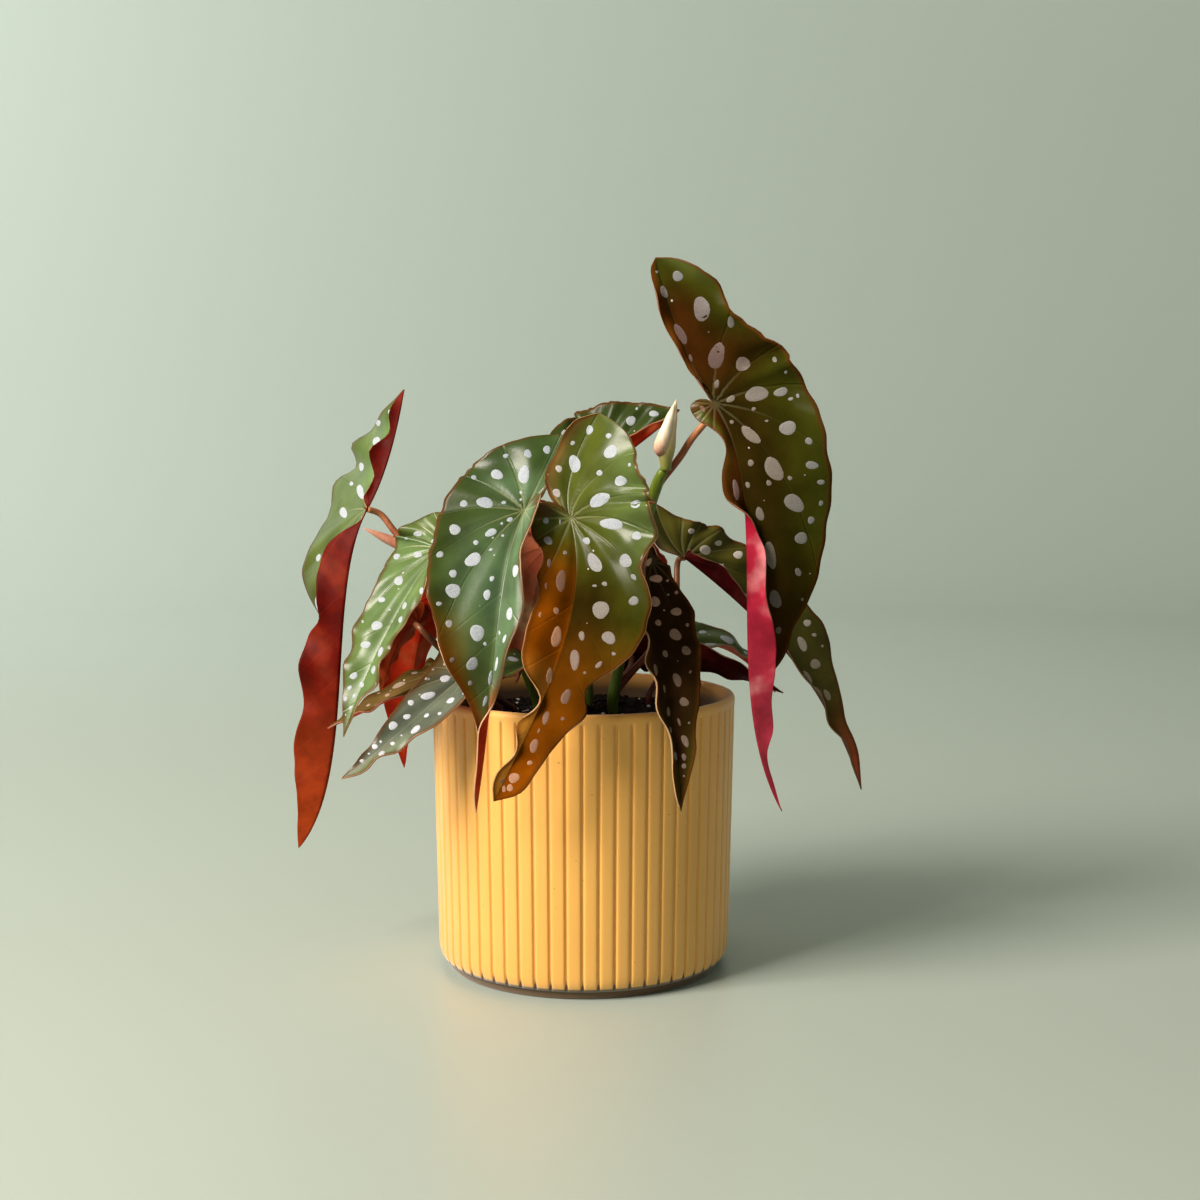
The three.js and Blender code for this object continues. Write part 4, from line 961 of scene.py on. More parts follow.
def blend_tones(names, t, which):
    """The colour at t of 0..1 along a row of tones; which is 0 for the blade and 1 for a spot."""
    t = clamp(t) * (len(names) - 1)
    k = min(int(t), len(names) - 2)
    a, b = [linear(TONES[name][which]) for name in names[k:k + 2]]
    return [mix(p, q, ease(t, k, k + 1)) for p, q in zip(a, b)]


def tone_at(leaf, half, u, r, which):
    """The tone r of the way from the spine to the edge; the lobe's inner edge has one tone."""
    tones = LEAF_TONES.get(leaf.name, OTHER_TONES)
    lobe = half in ("wide", "inner")
    t = (u + 1) / 2 if lobe else (u if half == "narrow" else 0)
    spine, edge = [blend_tones(row, t, which) for row in tones["wide" if lobe else "narrow"]]
    if half == "inner":
        edge = linear(TONES[tones["inner"]][which])
    return [mix(p, q, ease(r, 0.2, 0.95)) for p, q in zip(spine, edge)]


# %% [markdown]
# ### The veins
# The veins fan out from the stalk like the fingers of a hand, and the midrib sends branches to both
# sides. An image would need a painter, so the pattern is worked out instead. The mesh carries, for
# each point, its turn in the fan, its distance from the stalk, its place between two branches and
# how wide a vein is there, and the shader folds the turn into a distance from the nearest vein.


# %% Vein mask
def vein_mask(tree, ribs):
    """1 on a vein and 0 beside it: first the fan from the stalk, then branches of the midrib."""
    parts = add_node(tree, "ShaderNodeSeparateColor", {}, {0: ribs.outputs["Color"]})
    fan, far, branch = parts.outputs[0], parts.outputs[1], parts.outputs[2]
    off = add_node(tree, "ShaderNodeMath", {"operation": "PINGPONG"}, {0: fan, 1: 0.5})
    arc = add_node(tree, "ShaderNodeMath", {"operation": "MULTIPLY"}, {0: off, 1: far})
    apart = add_node(tree, "ShaderNodeMath", {"operation": "MULTIPLY"}, {
        0: arc, 1: math.radians(VEIN_SPACING)})
    scaled = add_node(tree, "ShaderNodeMath", {"operation": "DIVIDE"}, {
        0: apart, 1: ribs.outputs["Alpha"]})
    main = add_node(tree, "ShaderNodeMapRange", {"interpolation_type": "SMOOTHSTEP"}, {
        "Value": scaled, "From Min": 0.6, "From Max": 1.6, "To Min": 1.0, "To Max": 0.0})
    side = add_node(tree, "ShaderNodeMath", {"operation": "PINGPONG"}, {0: branch, 1: 0.5})
    thin = add_node(tree, "ShaderNodeMapRange", {"interpolation_type": "SMOOTHSTEP"}, {
        "Value": side, "From Min": 0.01, "From Max": 0.05, "To Min": 0.3, "To Max": 0.0})
    inside = add_node(tree, "ShaderNodeMapRange", {}, {
        "Value": fan, "From Min": 0.85, "From Max": 1.0, "To Min": 1.0, "To Max": 0.0})
    late = add_node(tree, "ShaderNodeMapRange", {}, {
        "Value": branch, "From Min": 1.6, "From Max": 2.0})
    shown = add_node(tree, "ShaderNodeMath", {"operation": "MULTIPLY"}, {
        0: inside, 1: late})
    twigs = add_node(tree, "ShaderNodeMath", {"operation": "MULTIPLY"}, {
        0: thin, 1: shown})
    return add_node(tree, "ShaderNodeMath", {"operation": "MAXIMUM"}, {
        0: main, 1: twigs}).outputs[0]


# %% [markdown]
# ### The upper skin
# The upper skin is waxed, so it shows wide soft highlights. Its veins lie in shallow grooves and are
# paler, and the blade swells a little between them. The blade's tone and the distance to its edge
# come from an attribute of the mesh, because these patterns follow the leaf and not the room. Some
# light passes through a leaf, which the translucent part gives.


# %% Upper skin
def make_upper_skin():
    material, tree, output = new_material("waxed_leaf_skin")
    tone = add_node(tree, "ShaderNodeAttribute", {"attribute_name": "tone"})
    ribs = add_node(tree, "ShaderNodeAttribute", {"attribute_name": "ribs"})
    flat = add_node(tree, "ShaderNodeUVMap", {"uv_map": "flat"}).outputs[0]
    vein = vein_mask(tree, ribs)
    mottle = add_node(tree, "ShaderNodeTexNoise", {}, {"Vector": flat, "Scale": 1 / 16, "Detail": 4.0})
    shade = add_node(tree, "ShaderNodeMapRange", {}, {
        "Value": mottle.outputs["Fac"], "From Min": 0.3, "From Max": 0.7, "To Min": 0.7, "To Max": 1.28})
    varied = add_node(tree, "ShaderNodeVectorMath", {"operation": "SCALE"}, {
        0: tone.outputs["Color"], "Scale": shade})
    pale = add_node(tree, "ShaderNodeMix", {"data_type": "RGBA"}, {
        0: 0.4, 6: tone.outputs["Color"], 7: linear("#c4c08a")})
    # The veins are pale beside the stalk and fade away from it.
    reach = add_node(tree, "ShaderNodeSeparateColor", {}, {0: ribs.outputs["Color"]})
    fade = add_node(tree, "ShaderNodeMapRange", {"interpolation_type": "SMOOTHSTEP"}, {
        "Value": reach.outputs[1], "From Min": 2.0, "From Max": 28.0, "To Min": 0.55, "To Max": 0.04})
    green = add_node(tree, "ShaderNodeSeparateColor", {}, {0: tone.outputs["Color"]})
    clear = add_node(tree, "ShaderNodeMapRange", {}, {
        "Value": green.outputs[1], "From Min": 0.01, "From Max": 0.12, "To Min": 0.3, "To Max": 1.0})
    faint = add_node(tree, "ShaderNodeMath", {"operation": "MULTIPLY"}, {
        0: clear, 1: fade})
    strength = add_node(tree, "ShaderNodeMath", {"operation": "MULTIPLY"}, {
        0: vein, 1: faint})
    veined = add_node(tree, "ShaderNodeMix", {"data_type": "RGBA"}, {
        0: strength, 6: varied, 7: pale.outputs[2]})
    # Fine silver dots, about a millimetre across, stand between the large spots.
    dust = add_node(tree, "ShaderNodeTexVoronoi", {}, {"Vector": flat, "Scale": 1 / 8, "Randomness": 1.0})
    luck = add_node(tree, "ShaderNodeSeparateColor", {}, {0: dust.outputs["Color"]})
    size = add_node(tree, "ShaderNodeMapRange", {}, {
        "Value": luck, "From Min": 0.45, "From Max": 1.0, "To Min": 0.0, "To Max": 0.08})
    inside = add_node(tree, "ShaderNodeMath", {"operation": "SUBTRACT"}, {
        0: size, 1: dust.outputs["Distance"]})
    dot = add_node(tree, "ShaderNodeMapRange", {}, {
        "Value": inside, "From Min": 0.0, "From Max": 0.02, "To Min": 0.0, "To Max": 0.8})
    silver = add_node(tree, "ShaderNodeMix", {"data_type": "RGBA"}, {
        0: 0.6, 6: tone.outputs["Color"], 7: linear("#e6e4dc")})
    dotted = add_node(tree, "ShaderNodeMix", {"data_type": "RGBA"}, {
        0: dot, 6: veined.outputs[2], 7: silver.outputs[2]})
    # Within about two millimetres of the edge the blade turns bronze.
    edge = add_node(tree, "ShaderNodeMapRange", {"interpolation_type": "SMOOTHSTEP"}, {
        "Value": tone.outputs["Alpha"], "From Min": 0.3, "From Max": 2.6, "To Min": 0.75, "To Max": 0.0})
    edged = add_node(tree, "ShaderNodeMix", {"data_type": "RGBA"}, {
        0: edge, 6: dotted.outputs[2], 7: linear("#56300f")})
    pebble = add_node(tree, "ShaderNodeTexNoise", {}, {"Vector": flat, "Scale": 1 / 1.4, "Detail": 3.0})
    # Between two veins the blade swells, so its gloss breaks up into streaks beside the veins.
    around = add_node(tree, "ShaderNodeMath", {"operation": "MULTIPLY"}, {
        0: reach, 1: 2 * math.pi})
    swing = add_node(tree, "ShaderNodeMath", {"operation": "COSINE"}, {0: around})
    wide = add_node(tree, "ShaderNodeMapRange", {}, {
        "Value": reach.outputs[1], "From Min": 0.0, "From Max": 36.0, "To Min": 0.0, "To Max": -1.0})
    swell = add_node(tree, "ShaderNodeMath", {"operation": "MULTIPLY"}, {
        0: swing, 1: wide})
    quilt = add_node(tree, "ShaderNodeBump", {}, {
        "Strength": 1.0, "Distance": 0.65 * MM, "Height": swell})
    grooves = add_node(tree, "ShaderNodeBump", {"invert": True}, {
        "Strength": 0.7, "Distance": 0.35 * MM, "Height": vein, "Normal": quilt})
    grain = add_node(tree, "ShaderNodeBump", {}, {
        "Strength": 0.35, "Distance": 0.12 * MM, "Height": pebble.outputs["Fac"],
        "Normal": grooves})
    # The wax is thick where the blade is green, and thin where it has turned bronze.
    red = add_node(tree, "ShaderNodeMath", {"operation": "MULTIPLY"}, {0: green, 1: 0.7})
    fresh = add_node(tree, "ShaderNodeMath", {"operation": "SUBTRACT"}, {
        0: green.outputs[1], 1: red})
    wax = add_node(tree, "ShaderNodeMapRange", {}, {
        "Value": fresh, "From Min": 0.01, "From Max": 0.045, "To Min": 0.0, "To Max": 0.34})
    skin = add_node(tree, "ShaderNodeBsdfPrincipled", {}, {
        "Base Color": edged.outputs[2], "Roughness": 0.32, "Specular IOR Level": wax,
        "Normal": grain})
    glow = add_node(tree, "ShaderNodeBsdfTranslucent", {}, {"Color": edged.outputs[2]})
    both = add_node(tree, "ShaderNodeMixShader", {}, {0: 0.12, 1: skin, 2: glow})
    tree.links.new(both.outputs[0], output.inputs[0])
    return material


# %% [markdown]
# ### The lower skin
# The lower skin has no wax and a fine down, so it is velvety and nearly matt, with raised veins. Its red is
# uneven: two tones in clouds, paler patches of painted sheen, and another tone towards the tip. A leaf that
# is lit through, or that lies in the shade, has its own set of these four tones, lighter or darker as
# painted light and shade.


# %% Lower skins
def make_under_skin(name, deep, bright, sheen_tone, tip):
    """deep and bright are the two tones of the clouds, the third is the painted sheen's and tip the tip's.
    """
    material, tree, output = new_material(name)
    ribs = add_node(tree, "ShaderNodeAttribute", {"attribute_name": "ribs"})
    flat = add_node(tree, "ShaderNodeUVMap", {"uv_map": "flat"}).outputs[0]
    vein = vein_mask(tree, ribs)
    cloud = add_node(tree, "ShaderNodeTexNoise", {}, {"Vector": flat, "Scale": 1 / 22, "Detail": 3.0})
    part = add_node(tree, "ShaderNodeMapRange", {"interpolation_type": "SMOOTHSTEP"}, {
        "Value": cloud.outputs["Fac"], "From Min": 0.35, "From Max": 0.65})
    body = add_node(tree, "ShaderNodeMix", {"data_type": "RGBA"}, {
        0: part, 6: linear(deep), 7: linear(bright)})
    reach = add_node(tree, "ShaderNodeSeparateColor", {}, {0: ribs.outputs["Color"]})
    far = add_node(tree, "ShaderNodeMapRange", {"interpolation_type": "SMOOTHSTEP"}, {
        "Value": reach.outputs[1], "From Min": 70.0, "From Max": 150.0})
    toward = add_node(tree, "ShaderNodeMix", {"data_type": "RGBA"}, {
        0: far, 6: body.outputs[2], 7: linear(tip)})
    # The paler patches are a painted sheen of the down.
    sheen_patches = add_node(tree, "ShaderNodeMapRange", {"interpolation_type": "SMOOTHSTEP"}, {
        "Value": cloud.outputs["Fac"], "From Min": 0.52, "From Max": 0.68, "To Max": 0.75})
    soft = add_node(tree, "ShaderNodeMix", {"data_type": "RGBA"}, {
        0: sheen_patches, 6: toward.outputs[2], 7: linear(sheen_tone)})
    pebble = add_node(tree, "ShaderNodeTexNoise", {}, {
        "Vector": flat, "Scale": 1 / 8, "Detail": 4.0, "Roughness": 0.55})
    shade = add_node(tree, "ShaderNodeMapRange", {}, {
        "Value": pebble.outputs["Fac"], "From Min": 0.3, "From Max": 0.7, "To Min": 0.75, "To Max": 1.25})
    varied = add_node(tree, "ShaderNodeVectorMath", {"operation": "SCALE"}, {
        0: soft.outputs[2], "Scale": shade})
    strength = add_node(tree, "ShaderNodeMath", {"operation": "MULTIPLY"}, {0: vein, 1: 0.05})
    veined = add_node(tree, "ShaderNodeMix", {"data_type": "RGBA"}, {
        0: strength, 6: varied, 7: linear("#b45a48")})
    raised = add_node(tree, "ShaderNodeBump", {}, {
        "Strength": 0.4, "Distance": 0.3 * MM, "Height": vein})
    grain = add_node(tree, "ShaderNodeBump", {}, {
        "Strength": 0.3, "Distance": 0.12 * MM, "Height": pebble.outputs["Fac"],
        "Normal": raised})
    skin = add_node(tree, "ShaderNodeBsdfPrincipled", {}, {
        "Base Color": veined.outputs[2], "Roughness": 0.5, "Specular IOR Level": 0.06,
        "Normal": grain})
    glow = add_node(tree, "ShaderNodeBsdfTranslucent", {}, {"Color": veined.outputs[2]})
    both = add_node(tree, "ShaderNodeMixShader", {}, {0: 0.2, 1: skin, 2: glow})
    tree.links.new(both.outputs[0], output.inputs[0])
    return material


# %% [markdown]
# ### Rims and silver spots
# The rim of a leaf is a thin dry strip of one tone. A silver spot is a blister: air under the skin
# scatters the light, and the walls of the cells show through as a fine net, which is drawn here
# with cells of 0.9 mm, coarser than the real ones, so that it shows at all.


# %% Rim and spot skins
def make_plain_skin(name, colour, roughness):
    material, tree, output = new_material(name)
    place = add_node(tree, "ShaderNodeTexCoord").outputs["Object"]
    cloud = add_node(tree, "ShaderNodeTexNoise", {}, {"Vector": place, "Scale": 1 / (9 * MM)})
    shade = add_node(tree, "ShaderNodeMapRange", {}, {
        "Value": cloud.outputs["Fac"], "To Min": 0.75, "To Max": 1.25})
    varied = add_node(tree, "ShaderNodeVectorMath", {"operation": "SCALE"}, {
        0: linear(colour)[:3], "Scale": shade})
    skin = add_node(tree, "ShaderNodeBsdfPrincipled", {}, {
        "Base Color": varied, "Roughness": roughness})
    tree.links.new(skin.outputs[0], output.inputs[0])
    return material


def make_spot_skin():
    material, tree, output = new_material("silver_spot_skin")
    tone = add_node(tree, "ShaderNodeAttribute", {"attribute_name": "tone"})
    place = add_node(tree, "ShaderNodeTexCoord").outputs["Object"]
    cells = add_node(tree, "ShaderNodeTexVoronoi", {"feature": "DISTANCE_TO_EDGE"}, {
        "Vector": place, "Scale": 1 / (0.9 * MM)})
    wall = add_node(tree, "ShaderNodeMapRange", {}, {
        "Value": cells.outputs["Distance"], "From Min": 0.0, "From Max": 0.2, "To Min": 0.74, "To Max": 1.0})
    varied = add_node(tree, "ShaderNodeVectorMath", {"operation": "SCALE"}, {
        0: tone.outputs["Color"], "Scale": wall})
    relief = add_node(tree, "ShaderNodeBump", {}, {
        "Strength": 0.3, "Distance": 0.08 * MM, "Height": wall})
    skin = add_node(tree, "ShaderNodeBsdfPrincipled", {}, {
        "Base Color": varied, "Roughness": 0.5, "Specular IOR Level": 0.16,
        "Normal": relief})
    tree.links.new(skin.outputs[0], output.inputs[0])
    return material


upper_skin = make_upper_skin()
spot_skin = make_spot_skin()
lower_skins = {
    # The crimson and tan sets are lightened as painted light for leaves that lie in shade, and each set's
    # third tone is a painted sheen.
    "crimson": make_under_skin("crimson_leaf_back", "#b0240e", "#c8381a", "#c05a36", "#b43c14"),
    "pink": make_under_skin("pink_leaf_back", "#a2142e", "#bc2440", "#f0989c", "#c83c50"),
    "orange": make_under_skin("orange_leaf_back", "#4c0702", "#660e02", "#762410", "#983812"),
    "brick": make_under_skin("brick_leaf_back", "#8a2c14", "#a0401c", "#b05a30", "#a05030"),
    "wine": make_under_skin("wine_leaf_back", "#3c0a0c", "#500e12", "#6a2420", "#782818"),
    "tan": make_under_skin("tan_leaf_back", "#b4593c", "#c89068", "#e0c49a", "#b06048"),
}
# The leaves whose lower skin isn't crimson.
LOWER_SKINS = {
    "leaf_upper_right": "pink", "leaf_far_left": "orange", "leaf_right_back": "wine",
    "leaf_left_small_red": "brick", "leaf_right_low": "wine", "leaf_right_dark": "wine",
    "leaf_center_back": "tan",
}
print("Leaf skins:", [skin.name for skin in (upper_skin, spot_skin, *lower_skins.values())])

# %% [markdown]
# ### Leaf blades
# Each half, the inner edge of the lobe and the small ear beside the stalk is one grid. The grids
# share their stations along the spine, so their doubles merge to one sheet. Solidify then gives the
# sheet its thickness of 0.7 mm, with one material above, one below and one along the rim.

# %% Leaf blades
ACROSS = [0, 0.08, 0.17, 0.26, 0.35, 0.44, 0.53, 0.62, 0.71, 0.8, 0.88, 0.95, 1]  # the values of r
LOBE_ROWS = 26
EAR_ROWS = 8
ROW_GAP = 2  # mm between two stations of the midrib
FEWEST_ROWS = 30
SPINE_MERGE = 2e-5  # metres, the most that two halves may miss each other by on the spine
EAR_WIDTH = 3  # mm, an ear's width in the middle, for the tone of its edge
VEIN_WIDTHS = (0.55, 0.2)  # mm, beside the stalk and at the tip
BRANCH_SLANT = 1.15  # how steeply the branches run towards the tip
sheets = {}  # each leaf's surface, on which the spots are laid
sheet_faces = {}  # the corners of its faces, in place and on the flat leaf


def leaf_rows(leaf):
    """The stations of each strip of a leaf, in an order that goes once round the stalk."""
    count = max(FEWEST_ROWS, round(leaf.length / ROW_GAP))
    lobe = [-1 + (k / LOBE_ROWS) ** 1.5 for k in range(LOBE_ROWS + 1)]
    blade = [k / count for k in range(count + 1)]
    return {"wide": lobe + blade[1:], "narrow": blade[::-1],
            "ear": [k / EAR_ROWS for k in range(EAR_ROWS + 1)], "inner": lobe[::-1]}


def point_facts(leaf, half, u, r):
    """What the mesh carries at a point: the tone and edge, the veins, and the flat place."""
    x, y = leaf.flat(half, u, r)
    fan, far = leaf.veins(x, y)
    branch = (x - BRANCH_SLANT * abs(y)) / BRANCH_SPACING
    edge = (leaf.width(half, u) if half != "ear" else EAR_WIDTH) * (1 - r)
    vein_width = mix(*VEIN_WIDTHS, clamp(far / leaf.length * 1.4))
    return (*tone_at(leaf, half, u, r, 0)[:3], edge), (fan, far, branch, vein_width), (x, y)


def face_up(bm, leaf):
    """Turns the sheet over if its upper side points down."""
    bm.normal_update()
    up = leaf.frame(0.3)[2]
    middle = leaf.at("wide", 0.3, 0.3) * MM
    nearest = min(bm.faces, key=lambda face: (face.calc_center_median() - middle).length)
    if nearest.normal.dot(up) < 0:
        bmesh.ops.reverse_faces(bm, faces=bm.faces)
    bm.faces.ensure_lookup_table()


def make_leaf(leaf, materials):
    bm = bmesh.new()
    tone_layer = bm.loops.layers.float_color.new("tone")
    ribs_layer = bm.loops.layers.float_color.new("ribs")
    uv_layer = bm.loops.layers.uv.new("flat")
    for half, stations in leaf_rows(leaf).items():

        def place(i, j):
            return leaf.at(half, stations[i], ACROSS[j]) * MM

        verts = grid(bm, len(stations) - 1, len(ACROSS) - 1, place)
        facts = {}
        for k, vert in enumerate(verts):
            row, column = divmod(k, len(stations))
            facts[vert] = point_facts(leaf, half, stations[column], ACROSS[row])
        for corner in corners_of(verts):
            corner[tone_layer], corner[ribs_layer], corner[uv_layer].uv = facts[corner.vert]
    close(bm, SPINE_MERGE)
    face_up(bm, leaf)
    sheets[leaf.name] = BVHTree.FromBMesh(bm)
    sheet_faces[leaf.name] = [([corner.vert.co.copy() for corner in face.loops],
                               [corner[uv_layer].uv.copy() for corner in face.loops])
                              for face in bm.faces]
    piece = finish_piece(leaf.name.replace("leaf", "blade"), bm, materials)
    thick = piece.modifiers.new("thickness", "SOLIDIFY")
    thick.thickness = BLADE * MM
    thick.offset = 0
    thick.material_offset = 1
    thick.material_offset_rim = 2
    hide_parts(leaf.name)


for leaf in leaves.values():
    rim = LEAF_TONES.get(leaf.name, OTHER_TONES)["rim"]
    rim_skin = make_plain_skin(leaf.name.replace("leaf", "rim"), rim, 0.5)
    make_leaf(leaf, [upper_skin, lower_skins[LOWER_SKINS.get(leaf.name, "crimson")], rim_skin])
print("Leaves made:", len(leaves))

# %% [markdown]
# ### Where the spots are
# A spot is an uneven oval of silvery skin, 2 to 12 mm long, stretched along the veins. The spots that the
# photograph shows are listed as they were read off, in pixels of a frame 1200 wide: across, down, the long
# and the short size, and the turn of the long side in degrees. Their places are what makes this plant
# itself, so no rule stands in for them.

# %% Spot places
SPOTS = {
    "leaf_front_center": (
        (590, 430, 10, 8, 90), (609, 436, 6, 6, 0), (573, 443, 5, 5, 0), (575, 464, 19, 13, 95),
        (559, 469, 8, 7, 90), (557, 493, 10, 8, 110), (611, 452, 16, 13, 60), (600, 473, 7, 6, 60),
        (621, 481, 14, 11, 35), (630, 465, 3.5, 3.5, 0), (600, 500, 25, 13, 32), (636, 504, 11, 9, 20),
        (612, 524, 24, 13, 175), (637, 536, 11, 9, 0), (587, 541, 9, 7, 155), (546, 521, 7, 6, 110),
        (548, 541, 11, 8, 130), (560, 522, 6, 2, 90), (565, 553, 5, 4, 0), (595, 563, 22, 14, 115),
        (626, 561, 14, 14, 0), (634, 577, 8, 5, 120), (605, 584, 6, 5, 0), (595, 586, 5, 3, 0),
        (561, 581, 23, 11, 85), (549, 563, 10, 4, 85), (546, 586, 7, 3, 90), (556, 611, 8, 6, 90),
        (540, 615, 6, 3.5, 90), (601, 610, 20, 18, 120), (634, 601, 11, 10, 0), (556, 637, 23, 11, 84),
        (582, 636, 10, 7, 100), (609, 638, 15, 14, 150), (614, 654, 5, 4, 0), (575, 660, 22, 11, 87),
        (599, 665, 10, 5, 40), (585, 673, 4, 3, 0), (549, 676, 18, 7, 82), (566, 697, 17, 10, 72),
        (546, 718, 15, 7, 70), (563, 719, 5, 4, 0), (539, 731, 6, 2.5, 70), (534, 746, 15, 9, 72),
        (530, 763, 6, 5, 0), (514, 778, 12, 11, 60), (510, 788, 8, 7, 60), (504, 789, 8, 4, 95),
        (502, 781, 5, 4, 0),
    ),
    "leaf_front_left": (
        (547, 450, 9, 8, 60), (528, 454, 9, 8, 120), (506, 456, 6, 5, 0), (497, 475, 13, 11, 170),
        (524, 475, 20, 12, 90), (521, 493, 4, 3, 90), (521, 500, 3, 3, 0), (485, 503, 18, 12, 160),
        (504, 503, 5, 4, 0), (510, 520, 7, 5, 35), (502, 524, 3, 3, 0), (491, 533, 13, 8, 20),
        (503, 536, 3, 3, 0), (491, 550, 4, 3, 20), (474, 478, 6, 5, 0), (464, 504, 9, 7, 0),
        (455, 530, 13, 11, 0), (476, 543, 6, 5, 20), (440, 555, 8, 7, 45), (473, 560, 18, 14, 30),
        (453, 574, 9, 8, 20), (453, 591, 17, 15, 20), (439, 604, 6, 5, 0), (487, 595, 11, 8, 90),
        (492, 579, 6, 5, 60), (516, 571, 14, 6, 85), (510, 614, 15, 6, 85), (449, 624, 9, 7, 90),
        (477, 633, 19, 15, 80), (485, 644, 4, 4, 0), (505, 639, 10, 3, 75), (500, 633, 5, 2, 90),
        (452, 660, 6, 5, 60), (472, 664, 15, 12, 70), (497, 664, 15, 3, 80), (490, 678, 16, 4, 80),
        (470, 683, 5, 5, 0), (485, 701, 13, 4, 75),
    ),
    "leaf_upper_right": (
        (678, 276, 12, 11, 0), (657, 272, 3, 3, 0), (664, 292, 14, 8, 120), (702, 309, 26, 19, 90),
        (731, 322, 12, 8, 95), (681, 334, 24, 10, 118), (709, 332, 2, 2, 0), (717, 356, 30, 17, 80),
        (743, 364, 17, 15, 20), (691, 358, 8, 4, 110), (717, 384, 9, 6, 75), (731, 399, 10, 7, 35),
        (757, 394, 25, 17, 5), (781, 392, 15, 10, 15), (775, 360, 6, 5, 90), (786, 372, 3.5, 3.5, 0),
        (798, 396, 5, 4, 90), (791, 399, 6, 4, 10), (754, 409, 5, 4, 40), (703, 409, 8, 5, 120),
        (732, 422, 5, 4, 150), (751, 435, 26, 12, 135), (788, 428, 18, 16, 0), (767, 421, 4, 2.5, 0),
        (809, 441, 8, 8, 0), (751, 463, 7, 7, 0), (774, 469, 28, 18, 128), (812, 465, 14, 9, 165),
        (805, 475, 2, 2, 0), (790, 478, 5, 5, 0), (769, 483, 6, 6, 0), (748, 485, 7, 5, 120),
        (821, 482, 8, 6, 0), (736, 490, 22, 7, 98), (794, 503, 23, 18, 150), (821, 503, 6, 5, 60),
        (811, 520, 8, 8, 0), (760, 514, 15, 9, 110), (801, 538, 14, 13, 140), (770, 555, 32, 12, 98),
        (798, 572, 9, 7, 110), (775, 599, 20, 13, 98), (778, 630, 8, 6, 90), (802, 599, 4, 3, 90),
    ),
    "leaf_right_dark": (
        (648, 562, 10, 6, 60), (656, 579, 13, 9, 0), (655, 602, 12, 10, 140), (667, 581, 3, 3, 0),
        (676, 593, 4, 4, 0), (676, 612, 12, 9, 170), (658, 623, 8, 6, 130), (687, 625, 4, 4, 0),
        (675, 635, 14, 12, 140), (665, 654, 8, 6, 120), (686, 651, 11, 9, 160),
        (655, 670, 13, 4, 98), (677, 680, 15, 9, 110), (690, 672, 4, 3, 60), (664, 689, 9, 3, 100),
        (684, 702, 11, 9, 120), (668, 712, 11, 4, 95), (679, 722, 9, 3, 105), (689, 723, 3, 3, 0),
        (670, 730, 7, 2, 105), (685, 741, 14, 7, 108), (675, 756, 10, 4, 98), (684, 757, 8, 5, 110),
        (684, 766, 6, 5, 90), (684, 776, 2.5, 2.5, 0),
    ),
    "leaf_right_back": (
        (691, 531, 7, 6, 0), (705, 550, 12, 11, 20), (718, 543, 8, 6, 170), (738, 555, 11, 8, 0),
        (720, 568, 12, 9, 150), (807, 623, 8, 8, 0), (814, 635, 5, 4, 0), (802, 644, 17, 9, 118),
        (815, 664, 12, 10, 130), (822, 646, 3, 3, 0), (827, 695, 14, 6, 115), (807, 678, 16, 8, 120),
        (818, 693, 15, 6, 120),
    ),
    "leaf_top_back": (
        (631, 421, 11, 10, 0), (654, 414, 10, 7, 0), (637, 409, 3, 3, 0),
    ),
    "leaf_left_mid": (
        (399, 581, 11, 9, 30), (382, 600, 8, 6, 20), (390, 610, 3, 2, 0), (377, 626, 12, 10, 30),
        (363, 622, 3, 3, 0), (366, 645, 11, 8, 20), (381, 652, 11, 5, 70), (401, 620, 8, 4, 70),
        (405, 606, 9, 4, 70), (374, 670, 10, 4, 75), (354, 676, 9, 7, 50), (350, 688, 6, 4, 60),
        (362, 685, 7, 5, 75), (355, 696, 6, 4, 60), (346, 699, 5, 4, 60), (351, 708, 5, 4, 70),
        (346, 715, 2, 2, 0), (422, 591, 8, 4, 70), (418, 534, 9, 6, 0), (407, 538, 5, 3, 0),
        (418, 555, 9, 7, 20), (397, 557, 8, 6, 40),
    ),
    "leaf_left_spotted": (
        (445, 679, 12, 7, 15), (428, 696, 16, 8, 18), (411, 703, 7, 6, 10), (426, 679, 3, 3, 0),
        (433, 670, 3, 2, 0), (451, 701, 10, 5, 35), (407, 717, 8, 6, 10), (427, 716, 6, 4, 30),
        (440, 714, 5, 3, 30), (393, 726, 11, 8, 35), (416, 730, 12, 6, 38), (402, 736, 2, 2, 0),
        (393, 744, 5, 4, 20), (381, 742, 3, 3, 0), (375, 747, 6, 6, 20), (382, 754, 7, 5, 30),
        (369, 754, 3, 2, 0), (362, 761, 5, 4, 20),
    ),
    "leaf_far_left": (
        (390, 412, 5, 3, 80), (379, 423, 7, 5, 80), (377, 442, 11, 8, 85), (362, 467, 10, 5, 95),
        (352, 484, 5, 4, 90), (361, 492, 17, 7, 105), (344, 513, 12, 8, 95), (319, 558, 8, 5, 70),
    ),
}


# %% [markdown]
# ### Laying the spots
# The camera's line of sight through a pixel finds the blade, and so the spot follows each wave of
# it. A spot is a small grid wrapped to an oval, raised a little above the skin, with its edge sunk
# into it. Hidden parts and hidden leaves get spots from a seeded generator instead, larger ones
# first and then smaller ones between them.

# %% Sight
FRAME_PIXELS = 1200
MOST_HITS = 3  # how often a line of sight may meet a lower skin before it is given up
NEAR_SPOT = 1.6  # a spot's points lie within this many lengths of its middle
SPOT_TURNS = 20
# Rows of a spot from its middle to its edge: the share of its size, and the height on the blade.
SPOT_ROWS = [(0, 0.07), (0.5, 0.07), (0.86, 0.05), (1, -0.12)]
